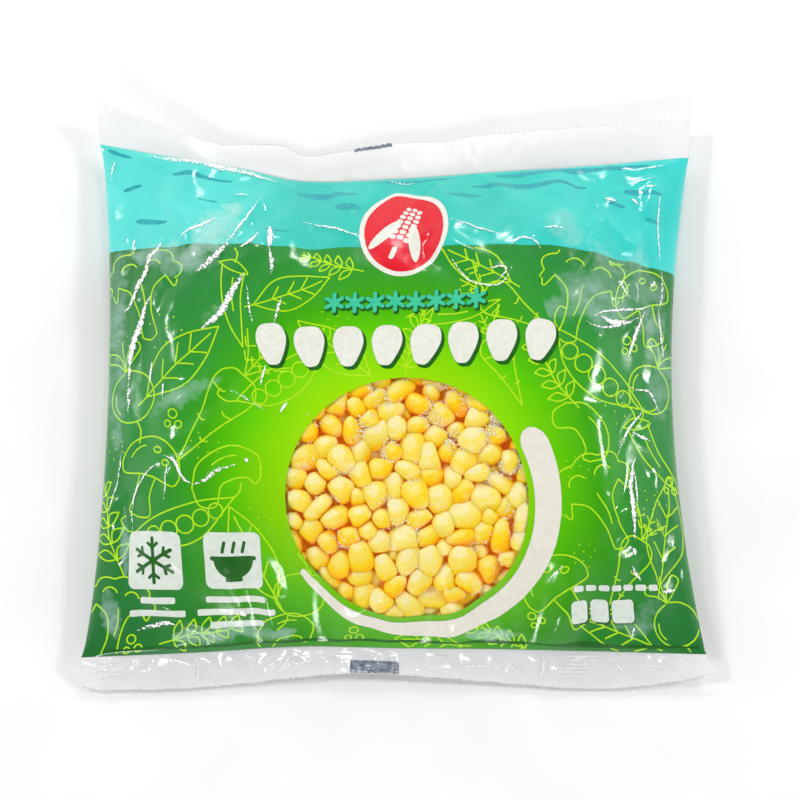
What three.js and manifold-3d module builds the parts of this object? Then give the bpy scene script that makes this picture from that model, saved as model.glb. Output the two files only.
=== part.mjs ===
// A pillow bag of frozen sweetcorn, lying on its back with the printed face up.
// One film tube, sealed flat across both ends, holds the corn, and a round clear window in the
// face shows a heap of kernels. Millimetres, +Z up, +Y towards the top of the print.
import * as THREE from "three";
import { mergeVertices } from "three/addons/utils/BufferGeometryUtils.js";
import Module from "manifold-3d";

const wasm = await Module();
wasm.setup();

// Driving sizes of the bag.
const FILM_WIDTH = 222;
const PACK_HEIGHT = 31;
const SEAM_HEIGHT = 9;
const FILM_STACK = 0.8;
const BELLY_DEPTH = 12;
const BODY_LENGTH = 172;

// How far each side is pulled in half way along, and how round the pull is.
const LEFT_WAIST = { depth: 6.5, roundness: 0.6 };
const RIGHT_WAIST = { depth: 13.5, roundness: 0.85 };

// The pillow's rise from its rim: how flat its top is, and how round its shoulder is.
const RISE_ACROSS = { flatness: 3.2, roundness: 0.58 };
const RISE_ALONG = { flatness: 2.8, roundness: 0.8 };

// The two seal lines and the two cut ends, as x and y of the few places where each one bends.
const TOP_EDGE = [
  [-112, 106.5], [-88, 99], [-66, 92.8], [-46, 90.4], [-29, 89.4], [0, 92.8], [32, 96.6], [109, 102.5],
];
const TOP_SEAL = [
  [-110, 91.6], [-88, 86.6], [-58, 80.6], [-36, 78.2], [0, 78.9], [40, 81.2], [75, 83.6], [108, 86.4],
];
const BOTTOM_SEAL = [
  [-110.5, -95.4], [-70, -93.6], [-35, -91.6], [0, -92.2], [40, -92.6], [110, -94.3],
];
const BOTTOM_EDGE = [
  [-111, -105.2], [-104, -106.3], [-70, -105.4], [-21, -100.8], [0, -101.2],
  [35, -103.8], [70, -105.9], [97, -103.4], [111, -100.4],
];

// How high the two cut ends ride over the table, as x and height, and how late the fins bend.
const TOP_EDGE_HEIGHT = [[-112, 17], [-84, 9], [-50, 2.4], [0, 4.5], [50, 7], [109, 9]];
const BOTTOM_EDGE_HEIGHT = [[-111, 2], [-60, 1.6], [-10, 4], [40, 2.2], [80, 1.6], [111, 4.5]];
const FIN_BEND = 1.3;

// Puckers that fan out of both seals, as two waves laid over each other.
const PUCKER_HEIGHT = 1.3;
const PUCKER_REACH = 26;
const PUCKER_ROOT = 7;
const PUCKER_WAVES = [
  { pitch: 19, phase: 0.4, share: 1 },
  { pitch: 31, phase: 2.1, share: 0.8 },
];

// The clear window and the heap of kernels behind it.
const WINDOW_RADIUS = 41.5;
const WINDOW_CENTRE = [2.1, -41.8];
const POCKET_FLOOR = 7;
const GAP = 0.3;
const CORE_DEPTH = 4.6;
const CORE_LEAST = 1.5;
const KERNEL_LENGTH = 10;
const KERNEL_WIDTH = 8.4;
const KERNEL_THICKNESS = 6;
const KERNEL_SIZES = [0.88, 1.12];
const KERNEL_TAPERS = [0.25, 0.55];
const TAPER_START = 0.15;
const KERNEL_SPACING = 7.4;
const KERNEL_DROP = 0.6;
const KERNEL_LEAN = 0.5;
const STANDING_SHARE = 0.35;
const KERNEL_TRIES = 4000;
const KERNEL_SEED = 20;

// The seam that closes the tube, along the middle of the back.
const BACK_SEAM_WIDTH = 12;
const BACK_SEAM_LENGTH = 150;
const BACK_SEAM_MIDDLE = -7;
const GROOVE_WIDTH = 0.8;
const GROOVE_DEPTH = 0.5;

// Grid steps across the bag, along its body and along each fin. Steps crowd towards the sides.
const STEPS_ACROSS = 38;
const STEPS_ALONG = 26;
const STEPS_FIN = 3;
const SIDE_CROWDING = 0.77;

// Facets of the round window, of the heap's core and of one kernel.
const WINDOW_FACETS = 72;
const CORE_RINGS = 5;
const CORE_SPOKES = 36;
const KERNEL_FACETS = [7, 5];

// Steps of the search for the film's height over a plan place.
const HEIGHT_STEPS = 12;

// Multiplier and modulus of the repeatable draw.
const DRAW_FACTOR = 16807;
const DRAW_RANGE = 2147483647;

const mix = (a, b, t) => a + (b - a) * t;

// A smooth curve through knots of x and value, with the end values kept beyond its ends.
function through(knots, x) {
  const last = knots.length - 1;
  if (x <= knots[0][0]) return knots[0][1];
  if (x >= knots[last][0]) return knots[last][1];
  const i = knots.findIndex((knot) => knot[0] > x) - 1;
  const [x0, y0] = knots[i];
  const [x1, y1] = knots[i + 1];
  const slope = (a, b) => (knots[b][1] - knots[a][1]) / (knots[b][0] - knots[a][0]);
  const width = x1 - x0;
  const m0 = slope(Math.max(i - 1, 0), i + 1) * width;
  const m1 = slope(i, Math.min(i + 2, last)) * width;
  const t = (x - x0) / width;
  const ease = t * t * (3 - 2 * t);
  const leave = t * (1 - t) * (1 - t) * m0;
  const arrive = t * t * (1 - t) * m1;
  return mix(y0, y1, ease) + leave - arrive;
}

// Place across the bag, -1 to 1, for an even step, so that steps crowd at the rounded sides.
function acrossAt(step) {
  const s = Math.sin((step * Math.PI) / 2);
  return Math.sign(s) * Math.abs(s) ** SIDE_CROWDING;
}

// Fullness of the pillow at a place from -1 to 1: full in the middle and none at the ends.
function fullness(place, rise) {
  return Math.max(0, 1 - Math.abs(place) ** rise.flatness) ** rise.roundness;
}

// Left or right side of the body, pulled in between the seals.
function sideAt(along, sign) {
  const waist = sign < 0 ? LEFT_WAIST : RIGHT_WAIST;
  const pull = Math.max(0, Math.sin(Math.PI * along)) ** waist.roundness;
  return sign * (FILM_WIDTH / 2 - waist.depth * pull);
}

// Plan place of a point of the body, from its places across and along.
function bodyPlan(across, along) {
  const x = mix(sideAt(along, -1), sideAt(along, 1), (across + 1) / 2);
  const flat = (across * FILM_WIDTH) / 2;
  return [x, mix(through(BOTTOM_SEAL, flat), through(TOP_SEAL, flat), along)];
}

// Height of the puckers at a place, from the distance to the nearer seal.
function pucker(x, toSeal) {
  const fade = Math.exp(-toSeal / PUCKER_REACH) * (1 - Math.exp(-toSeal / PUCKER_ROOT));
  let sum = 0;
  for (const wave of PUCKER_WAVES) {
    sum += wave.share * Math.cos((2 * Math.PI * x) / wave.pitch + wave.phase);
  }
  return PUCKER_HEIGHT * fade * sum;
}

// Upper and lower height of the body at a place.
function bodyHeights(across, along) {
  const [x, y] = bodyPlan(across, along);
  const flat = (across * FILM_WIDTH) / 2;
  const toSeal = Math.min(y - through(BOTTOM_SEAL, flat), through(TOP_SEAL, flat) - y);
  const wide = fullness(across, RISE_ACROSS);
  const full = wide * fullness(2 * along - 1, RISE_ALONG);
  const upperRim = SEAM_HEIGHT + FILM_STACK / 2;
  const lowerRim = SEAM_HEIGHT - FILM_STACK / 2;
  const upper = upperRim + (PACK_HEIGHT - upperRim) * full + pucker(x, toSeal) * wide;
  const lower = lowerRim - BELLY_DEPTH * full;
  return [upper, Math.max(0, lower)];
}

// One column of the film's two faces at a place across: bottom fin, body, top fin.
function sectionAlong(across) {
  const flat = (across * FILM_WIDTH) / 2;
  const rows = [];
  const fin = (seal, edge, heights, t) => {
    const y = mix(through(seal, flat), through(edge, flat), t);
    const z = mix(SEAM_HEIGHT, through(heights, flat), t ** FIN_BEND);
    rows.push([flat, y, z + FILM_STACK / 2, z - FILM_STACK / 2]);
  };
  for (let i = STEPS_FIN; i > 0; i--) {
    fin(BOTTOM_SEAL, BOTTOM_EDGE, BOTTOM_EDGE_HEIGHT, i / STEPS_FIN);
  }
  for (let i = 0; i <= STEPS_ALONG; i++) {
    const along = (1 - Math.cos((Math.PI * i) / STEPS_ALONG)) / 2;
    rows.push([...bodyPlan(across, along), ...bodyHeights(across, along)]);
  }
  for (let i = 1; i <= STEPS_FIN; i++) {
    fin(TOP_SEAL, TOP_EDGE, TOP_EDGE_HEIGHT, i / STEPS_FIN);
  }
  return rows;
}

// The whole film outline as one closed grid: upper face, lower face and a thin wall round the rim.
function pillowGeometry() {
  const columns = [];
  for (let i = 0; i <= STEPS_ACROSS; i++) {
    columns.push(sectionAlong(acrossAt((2 * i) / STEPS_ACROSS - 1)));
  }
  const upperPoints = columns.flat().map(([x, y, upper]) => [x, y, upper]);
  const lowerPoints = columns.flat().map(([x, y, , lower]) => [x, y, lower]);
  const positions = [...upperPoints, ...lowerPoints].flat();
  const rows = columns[0].length;
  const [lastColumn, lastRow] = [STEPS_ACROSS, rows - 1];
  const upper = (i, j) => i * rows + j;
  const lower = (i, j) => upperPoints.length + i * rows + j;
  const index = [];
  const quad = (a, b, c, d) => index.push(a, b, c, a, c, d);
  for (let i = 0; i < lastColumn; i++) {
    for (let j = 0; j < lastRow; j++) {
      quad(upper(i, j), upper(i + 1, j), upper(i + 1, j + 1), upper(i, j + 1));
      quad(lower(i, j), lower(i, j + 1), lower(i + 1, j + 1), lower(i + 1, j));
    }
    quad(lower(i, 0), lower(i + 1, 0), upper(i + 1, 0), upper(i, 0));
    quad(upper(i, lastRow), upper(i + 1, lastRow), lower(i + 1, lastRow), lower(i, lastRow));
  }
  for (let j = 0; j < lastRow; j++) {
    quad(upper(0, j), upper(0, j + 1), lower(0, j + 1), lower(0, j));
    quad(lower(lastColumn, j), lower(lastColumn, j + 1), upper(lastColumn, j + 1), upper(lastColumn, j));
  }
  const geometry = new THREE.BufferGeometry();
  geometry.setAttribute("position", new THREE.Float32BufferAttribute(positions, 3));
  geometry.setIndex(index);
  return geometry;
}

// A closed three.js geometry as a solid that can be joined and cut.
function toSolid(geometry) {
  const bare = geometry.clone();
  bare.deleteAttribute("normal");
  bare.deleteAttribute("uv");
  const merged = mergeVertices(bare, 1e-4);
  return new wasm.Manifold(
    new wasm.Mesh({
      numProp: 3,
      vertProperties: new Float32Array(merged.attributes.position.array),
      triVerts: new Uint32Array(merged.index.array),
    }),
  );
}

function toGeometry(solid) {
  const mesh = solid.getMesh();
  const geometry = new THREE.BufferGeometry();
  geometry.setAttribute("position", new THREE.BufferAttribute(mesh.vertProperties, 3));
  geometry.setIndex(new THREE.BufferAttribute(mesh.triVerts, 1));
  return geometry;
}

// An upright round bar on the window's axis.
function windowBar(radius, from, to) {
  const bar = new THREE.CylinderGeometry(radius, radius, to - from, WINDOW_FACETS);
  bar.rotateX(Math.PI / 2);
  bar.translate(WINDOW_CENTRE[0], WINDOW_CENTRE[1], (from + to) / 2);
  return toSolid(bar);
}

// A bar along the back whose upper half cuts one groove of the back seam.
function grooveBar(x) {
  const box = new THREE.BoxGeometry(GROOVE_WIDTH, BACK_SEAM_LENGTH, 2 * GROOVE_DEPTH);
  box.translate(x, BACK_SEAM_MIDDLE, 0);
  return toSolid(box);
}

// The bag: pillow and both end fins in one piece, with the pocket behind the window and the
// outline of the back seam.
function filmBag() {
  const pillow = toSolid(pillowGeometry());
  const pocket = windowBar(WINDOW_RADIUS, POCKET_FLOOR, PACK_HEIGHT * 2);
  const leftGroove = grooveBar(-BACK_SEAM_WIDTH / 2);
  const rightGroove = grooveBar(BACK_SEAM_WIDTH / 2);
  return pillow.subtract(pocket).subtract(leftGroove).subtract(rightGroove);
}

// Height of the film's upper face over a plan place inside the window, found by a few steps.
function filmHeight(x, y) {
  let across = (2 * x) / FILM_WIDTH;
  let along = 0.5;
  for (let i = 0; i < HEIGHT_STEPS; i++) {
    const [px, py] = bodyPlan(across, along);
    across += ((x - px) * 2) / FILM_WIDTH;
    along += (y - py) / BODY_LENGTH;
    along = Math.min(1, Math.max(0, along));
  }
  return bodyHeights(across, along)[0];
}

// The body of the heap: a disc whose top follows the film at a fixed depth below it.
function heapCore() {
  const [cx, cy] = WINDOW_CENTRE;
  const radius = WINDOW_RADIUS - GAP;
  const floor = POCKET_FLOOR + GAP;
  const top = (x, y) => Math.max(floor + CORE_LEAST, filmHeight(x, y) - CORE_DEPTH);
  const positions = [cx, cy, top(cx, cy), cx, cy, floor];
  const [topMiddle, floorMiddle, firstRing] = [0, 1, 2];
  for (let ring = 1; ring <= CORE_RINGS + 1; ring++) {
    const out = Math.min(1, ring / CORE_RINGS) * radius;
    for (let spoke = 0; spoke < CORE_SPOKES; spoke++) {
      const angle = (2 * Math.PI * spoke) / CORE_SPOKES;
      const x = cx + Math.cos(angle) * out;
      const y = cy + Math.sin(angle) * out;
      positions.push(x, y, ring > CORE_RINGS ? floor : top(x, y));
    }
  }
  const index = [];
  for (let spoke = 0; spoke < CORE_SPOKES; spoke++) {
    const next = (spoke + 1) % CORE_SPOKES;
    const at = (ring, place) => firstRing + (ring - 1) * CORE_SPOKES + place;
    index.push(topMiddle, at(1, spoke), at(1, next));
    for (let ring = 1; ring <= CORE_RINGS; ring++) {
      index.push(at(ring, spoke), at(ring + 1, spoke), at(ring + 1, next));
      index.push(at(ring, spoke), at(ring + 1, next), at(ring, next));
    }
    index.push(floorMiddle, at(CORE_RINGS + 1, next), at(CORE_RINGS + 1, spoke));
  }
  const geometry = new THREE.BufferGeometry();
  geometry.setAttribute("position", new THREE.Float32BufferAttribute(positions, 3));
  geometry.setIndex(index);
  return toSolid(geometry);
}

// A repeatable draw between 0 and 1.
function draws(seed) {
  let state = seed;
  return () => {
    state = (state * DRAW_FACTOR) % DRAW_RANGE;
    return state / DRAW_RANGE;
  };
}

// One kernel: a domed crown that narrows to a flat-sided tip, along its own Z.
function kernelGeometry(draw) {
  const geometry = new THREE.SphereGeometry(0.5, ...KERNEL_FACETS);
  geometry.rotateX(Math.PI / 2);
  const size = mix(...KERNEL_SIZES, draw());
  const taper = mix(...KERNEL_TAPERS, draw());
  const point = geometry.attributes.position;
  for (let i = 0; i < point.count; i++) {
    const narrow = size * (1 - taper * Math.max(0, TAPER_START - point.getZ(i)));
    const x = point.getX(i) * KERNEL_WIDTH * narrow;
    const y = point.getY(i) * KERNEL_THICKNESS * narrow;
    point.setXYZ(i, x, y, point.getZ(i) * KERNEL_LENGTH * size);
  }
  return geometry;
}

// Places for the kernels that lie against the film: random, but never closer than the spacing.
function kernelPlaces(draw) {
  const places = [];
  const reach = WINDOW_RADIUS + KERNEL_WIDTH / 3;
  for (let tries = 0; tries < KERNEL_TRIES; tries++) {
    const r = reach * Math.sqrt(draw());
    const angle = 2 * Math.PI * draw();
    const x = WINDOW_CENTRE[0] + r * Math.cos(angle);
    const y = WINDOW_CENTRE[1] + r * Math.sin(angle);
    const apart = places.every((place) => Math.hypot(place[0] - x, place[1] - y) >= KERNEL_SPACING);
    if (apart) places.push([x, y]);
  }
  return places;
}

// The heap that the window shows: its core with whole kernels fused on, trimmed to the pocket.
function cornHeap() {
  const draw = draws(KERNEL_SEED);
  let heap = heapCore();
  for (const [x, y] of kernelPlaces(draw)) {
    const kernel = kernelGeometry(draw);
    const standing = draw() < STANDING_SHARE;
    const lean = standing ? KERNEL_LEAN * draw() : Math.PI / 2 + KERNEL_LEAN * (draw() - 0.5);
    const roll = KERNEL_LEAN * (draw() - 0.5);
    const turn = new THREE.Euler(lean, roll, 2 * Math.PI * draw(), "ZXY");
    kernel.applyMatrix4(new THREE.Matrix4().makeRotationFromEuler(turn));
    kernel.computeBoundingBox();
    const drop = kernel.boundingBox.max.z + GAP + KERNEL_DROP * draw();
    kernel.translate(x, y, filmHeight(x, y) - drop);
    heap = heap.add(toSolid(kernel));
  }
  return heap.intersect(windowBar(WINDOW_RADIUS - GAP, POCKET_FLOOR, PACK_HEIGHT * 2));
}

// The largest connected piece of a solid, without the slivers that trimming can leave loose.
function largest(solid) {
  return solid.decompose().sort((a, b) => b.volume() - a.volume())[0];
}

function part(name, solid, material) {
  const mesh = new THREE.Mesh(toGeometry(largest(solid)), new THREE.MeshStandardMaterial(material));
  mesh.name = name;
  return mesh;
}

const pack = new THREE.Group();
pack.add(part("film_bag", filmBag(), { color: 0x3fa535, roughness: 0.3, metalness: 0 }));
pack.add(part("corn_heap", cornHeap(), { color: 0xf6dc5a, roughness: 0.5, metalness: 0 }));

// The origin is the middle of the bag's box, on the table.
const extent = new THREE.Box3().setFromObject(pack);
const middle = extent.getCenter(new THREE.Vector3());
pack.position.set(-middle.x, -middle.y, -extent.min.z);

export default pack;
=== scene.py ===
"""A pillow bag of frozen sweetcorn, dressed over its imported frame.

The bag lies on its back with the printed face up. Its film is one tube, sealed flat at both ends.
Inside the classes every size is in millimetres, as on the real bag, and every mesh is in metres.
Places on the film are film coordinates: u across from the middle, v up from the bottom seal, both
measured along the film, so a shape drawn there lies on the film as print does.
"""

import logging
import math
from collections.abc import Callable, Sequence
from dataclasses import dataclass, field
from enum import Enum
from functools import partial

import bmesh
import bpy
import numpy as np
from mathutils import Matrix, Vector, noise


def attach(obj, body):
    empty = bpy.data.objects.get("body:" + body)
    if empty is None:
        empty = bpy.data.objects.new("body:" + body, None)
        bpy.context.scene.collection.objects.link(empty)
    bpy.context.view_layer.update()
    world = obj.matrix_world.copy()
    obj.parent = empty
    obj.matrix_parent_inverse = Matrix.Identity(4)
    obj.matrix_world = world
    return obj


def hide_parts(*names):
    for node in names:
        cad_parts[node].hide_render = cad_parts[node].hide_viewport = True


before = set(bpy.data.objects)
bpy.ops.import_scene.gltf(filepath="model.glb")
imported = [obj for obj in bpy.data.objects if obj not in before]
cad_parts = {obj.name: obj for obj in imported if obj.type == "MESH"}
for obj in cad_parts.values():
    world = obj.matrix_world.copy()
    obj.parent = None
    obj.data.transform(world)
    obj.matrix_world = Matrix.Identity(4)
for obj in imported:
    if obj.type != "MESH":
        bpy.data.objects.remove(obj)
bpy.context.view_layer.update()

MM = 0.001
BODY = "root"

Array = np.ndarray
Arrays = tuple[Array, Array]
Piece = bpy.types.Object
Pair = tuple[float, float]
Path = tuple[Pair, ...]
Shape = Callable[[Array, Array], Array]
Place = Callable[[Array, Array], Arrays]
Faces = list[tuple[int, ...]]
Stops = tuple[tuple[float, str], ...]
AddNode = Callable[..., bpy.types.Node]

log = logging.getLogger("bag")


class Slot(Enum):
    """The record's material slots."""

    PRINTED = "printed_film"
    CLEAR = "clear_film"
    CORN = "corn"


class End(Enum):
    """The two sealed ends of the tube."""

    TOP = "top"
    BOTTOM = "bottom"


def through(knots: Path, x: Array) -> Array:
    """Follows a smooth curve through knots, as the part's source does.

    Args:
        knots: Places and values, in order of place.
        x: Places to look up.

    Returns:
        The values there, with the end values kept beyond the ends.
    """
    places, values = np.array(knots, float).T
    last = len(places) - 1
    before = np.maximum(np.arange(last + 1) - 1, 0)
    after = np.minimum(np.arange(last + 1) + 1, last)
    slope = (values[after] - values[before]) / (places[after] - places[before])
    x = np.clip(np.asarray(x, float), places[0], places[-1])
    i = np.clip(np.searchsorted(places, x, side="right") - 1, 0, last - 1)
    width = places[i + 1] - places[i]
    t = (x - places[i]) / width
    ease = t * t * (3 - 2 * t)
    leave = t * (1 - t) ** 2 * slope[i] * width
    arrive = t * t * (1 - t) * slope[i + 1] * width
    return values[i] + (values[i + 1] - values[i]) * ease + leave - arrive


def mix(a: Array | float, b: Array | float, t: Array | float) -> Array | float:
    """Goes from a to b as t goes from 0 to 1."""
    return a + (b - a) * t


def smooth_step(low: float, high: float, x: Array) -> Array:
    """Rises smoothly from 0 at low to 1 at high."""
    t = np.clip((x - low) / (high - low), 0, 1)
    return t * t * (3 - 2 * t)


def lattice_normals(points: Array) -> Array:
    """Finds the unit normals of a lattice of points.

    Args:
        points: An array of rows, columns and x, y, z.

    Returns:
        An array of the same shape.
    """
    across = np.gradient(points, axis=0)
    along = np.gradient(points, axis=1)
    normals = np.cross(across, along)
    return normals / np.maximum(np.linalg.norm(normals, axis=-1, keepdims=True), 1e-9)


def soften(values: Array, spread: float) -> Array:
    """Blurs a lattice of values.

    Args:
        values: The lattice.
        spread: Spread of the blur, in lattice steps.

    Returns:
        The blurred lattice.
    """
    reach = math.ceil(3 * spread)
    weights = np.exp(-0.5 * (np.arange(-reach, reach + 1) / spread) ** 2)
    weights /= weights.sum()
    for _ in range(2):
        padded = np.pad(values, ((reach, reach), (0, 0)), mode="edge")
        rows = values.shape[0]
        values = sum(w * padded[k : k + rows] for k, w in enumerate(weights)).T
    return values


def look_up(us: Array, vs: Array, grid: Array, u: Array, v: Array) -> Array:
    """Reads values between the points of an even lattice.

    Args:
        us: The lattice's places across.
        vs: The lattice's places up.
        grid: Its values, with any further axes last.
        u: Places across to read at.
        v: Places up to read at.

    Returns:
        The values there.
    """
    last_i, last_j = len(us) - 1, len(vs) - 1
    fi = np.clip((u - us[0]) / (us[-1] - us[0]) * last_i, 0, last_i - 1e-6)
    fj = np.clip((v - vs[0]) / (vs[-1] - vs[0]) * last_j, 0, last_j - 1e-6)
    i, j = fi.astype(int), fj.astype(int)
    extra = (1,) * (grid.ndim - 2)
    a, b = (fi - i).reshape(*u.shape, *extra), (fj - j).reshape(*u.shape, *extra)
    low = mix(grid[i, j], grid[i + 1, j], a)
    high = mix(grid[i, j + 1], grid[i + 1, j + 1], a)
    return mix(low, high, b)


def noise_over(u: Array, v: Array, pitch: float, seed: float) -> Array:
    """Draws smooth noise between about -1 and 1 over film coordinates.

    Args:
        u: Places across.
        v: Places up.
        pitch: Size of one lump in millimetres.
        seed: Which of the many noises to draw.

    Returns:
        The noise at each place.
    """
    flat = [noise.noise(Vector((a / pitch, b / pitch, seed))) for a, b in zip(u.ravel(), v.ravel())]
    return np.array(flat).reshape(u.shape)


def clip_lattice(us: Array, vs: Array, inside: Array) -> tuple[Array, Faces]:
    """Cuts a lattice along the line where a shape's value is zero.

    Args:
        us: The lattice's places across.
        vs: The lattice's places up.
        inside: The shape's value at each lattice point, above zero inside the shape.

    Returns:
        The film coordinates of the kept points, and the faces between them.
    """
    rows, columns = inside.shape
    keep = inside > 0
    places: list[Pair] = []
    known: dict[tuple[int, int, int, int], int] = {}

    def corner(i: int, j: int) -> int:
        """Numbers a kept lattice point.

        Args:
            i: Its column.
            j: Its row.

        Returns:
            The point's number.
        """
        key = (i, j, i, j)
        if key not in known:
            known[key] = len(places)
            places.append((us[i], vs[j]))
        return known[key]

    def crossing(i: int, j: int, k: int, m: int) -> int:
        """Numbers the place where the outline crosses a lattice side.

        Args:
            i: Column of one end.
            j: Row of that end.
            k: Column of the other end.
            m: Row of that end.

        Returns:
            The point's number.
        """
        key = (i, j, k, m) if (i, j) < (k, m) else (k, m, i, j)
        if key not in known:
            a, b, c, d = key
            t = inside[a, b] / (inside[a, b] - inside[c, d])
            known[key] = len(places)
            places.append((mix(us[a], us[c], t), mix(vs[b], vs[d], t)))
        return known[key]

    faces: Faces = []
    some = keep[:-1, :-1] | keep[1:, :-1] | keep[1:, 1:] | keep[:-1, 1:]
    for i, j in zip(*np.nonzero(some[: rows - 1, : columns - 1])):
        ring = [(i, j), (i + 1, j), (i + 1, j + 1), (i, j + 1)]
        face: list[int] = []
        for here, there in zip(ring, ring[1:] + ring[:1]):
            if keep[here]:
                face.append(corner(*here))
            if keep[here] != keep[there]:
                face.append(crossing(*here, *there))
        if len(face) > 2:
            faces.append(tuple(face))
    return np.array(places, float).reshape(-1, 2), faces


def walk(line: Array, step: float, least: int, extra: int = 0) -> Array:
    """Walks along a line in even steps.

    Args:
        line: Its points.
        step: Length of a step.
        least: How many points it has at least.
        extra: Points added to the count.

    Returns:
        The points of the walk.
    """
    places = np.concatenate([[0], np.linalg.norm(np.diff(line, axis=0), axis=1).cumsum()])
    even = np.linspace(0, places[-1], max(least, round(places[-1] / step) + extra))
    return np.stack([np.interp(even, places, line[:, axis]) for axis in range(2)], 1)


def sideways(run: Array) -> Array:
    """Gives the unit direction to the left of a line at each of its points."""
    ahead = np.gradient(run, axis=0)
    ahead /= np.maximum(np.linalg.norm(ahead, axis=1, keepdims=True), 1e-9)
    return np.stack([-ahead[:, 1], ahead[:, 0]], 1)


def seen_from(u0: float, v0: float, turn: float) -> Place:
    """Gives how film coordinates look from a place and a turn."""
    c, s = math.cos(turn), math.sin(turn)
    return lambda u, v: ((u - u0) * c + (v - v0) * s, (v - v0) * c - (u - u0) * s)


@dataclass(frozen=True)
class Rise:
    """How the pillow rises from its rim: how flat its top is, and how round its shoulder is."""

    flatness: float
    roundness: float

    def at(self, place: Array) -> Array:
        """Gives the fullness at a place from -1 to 1, full in the middle and none at the ends."""
        return np.maximum(0, 1 - np.abs(place) ** self.flatness) ** self.roundness


@dataclass(frozen=True)
class Wave:
    """One of the two waves that the puckers at the seals are made of."""

    pitch: float
    phase: float
    share: float


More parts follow.
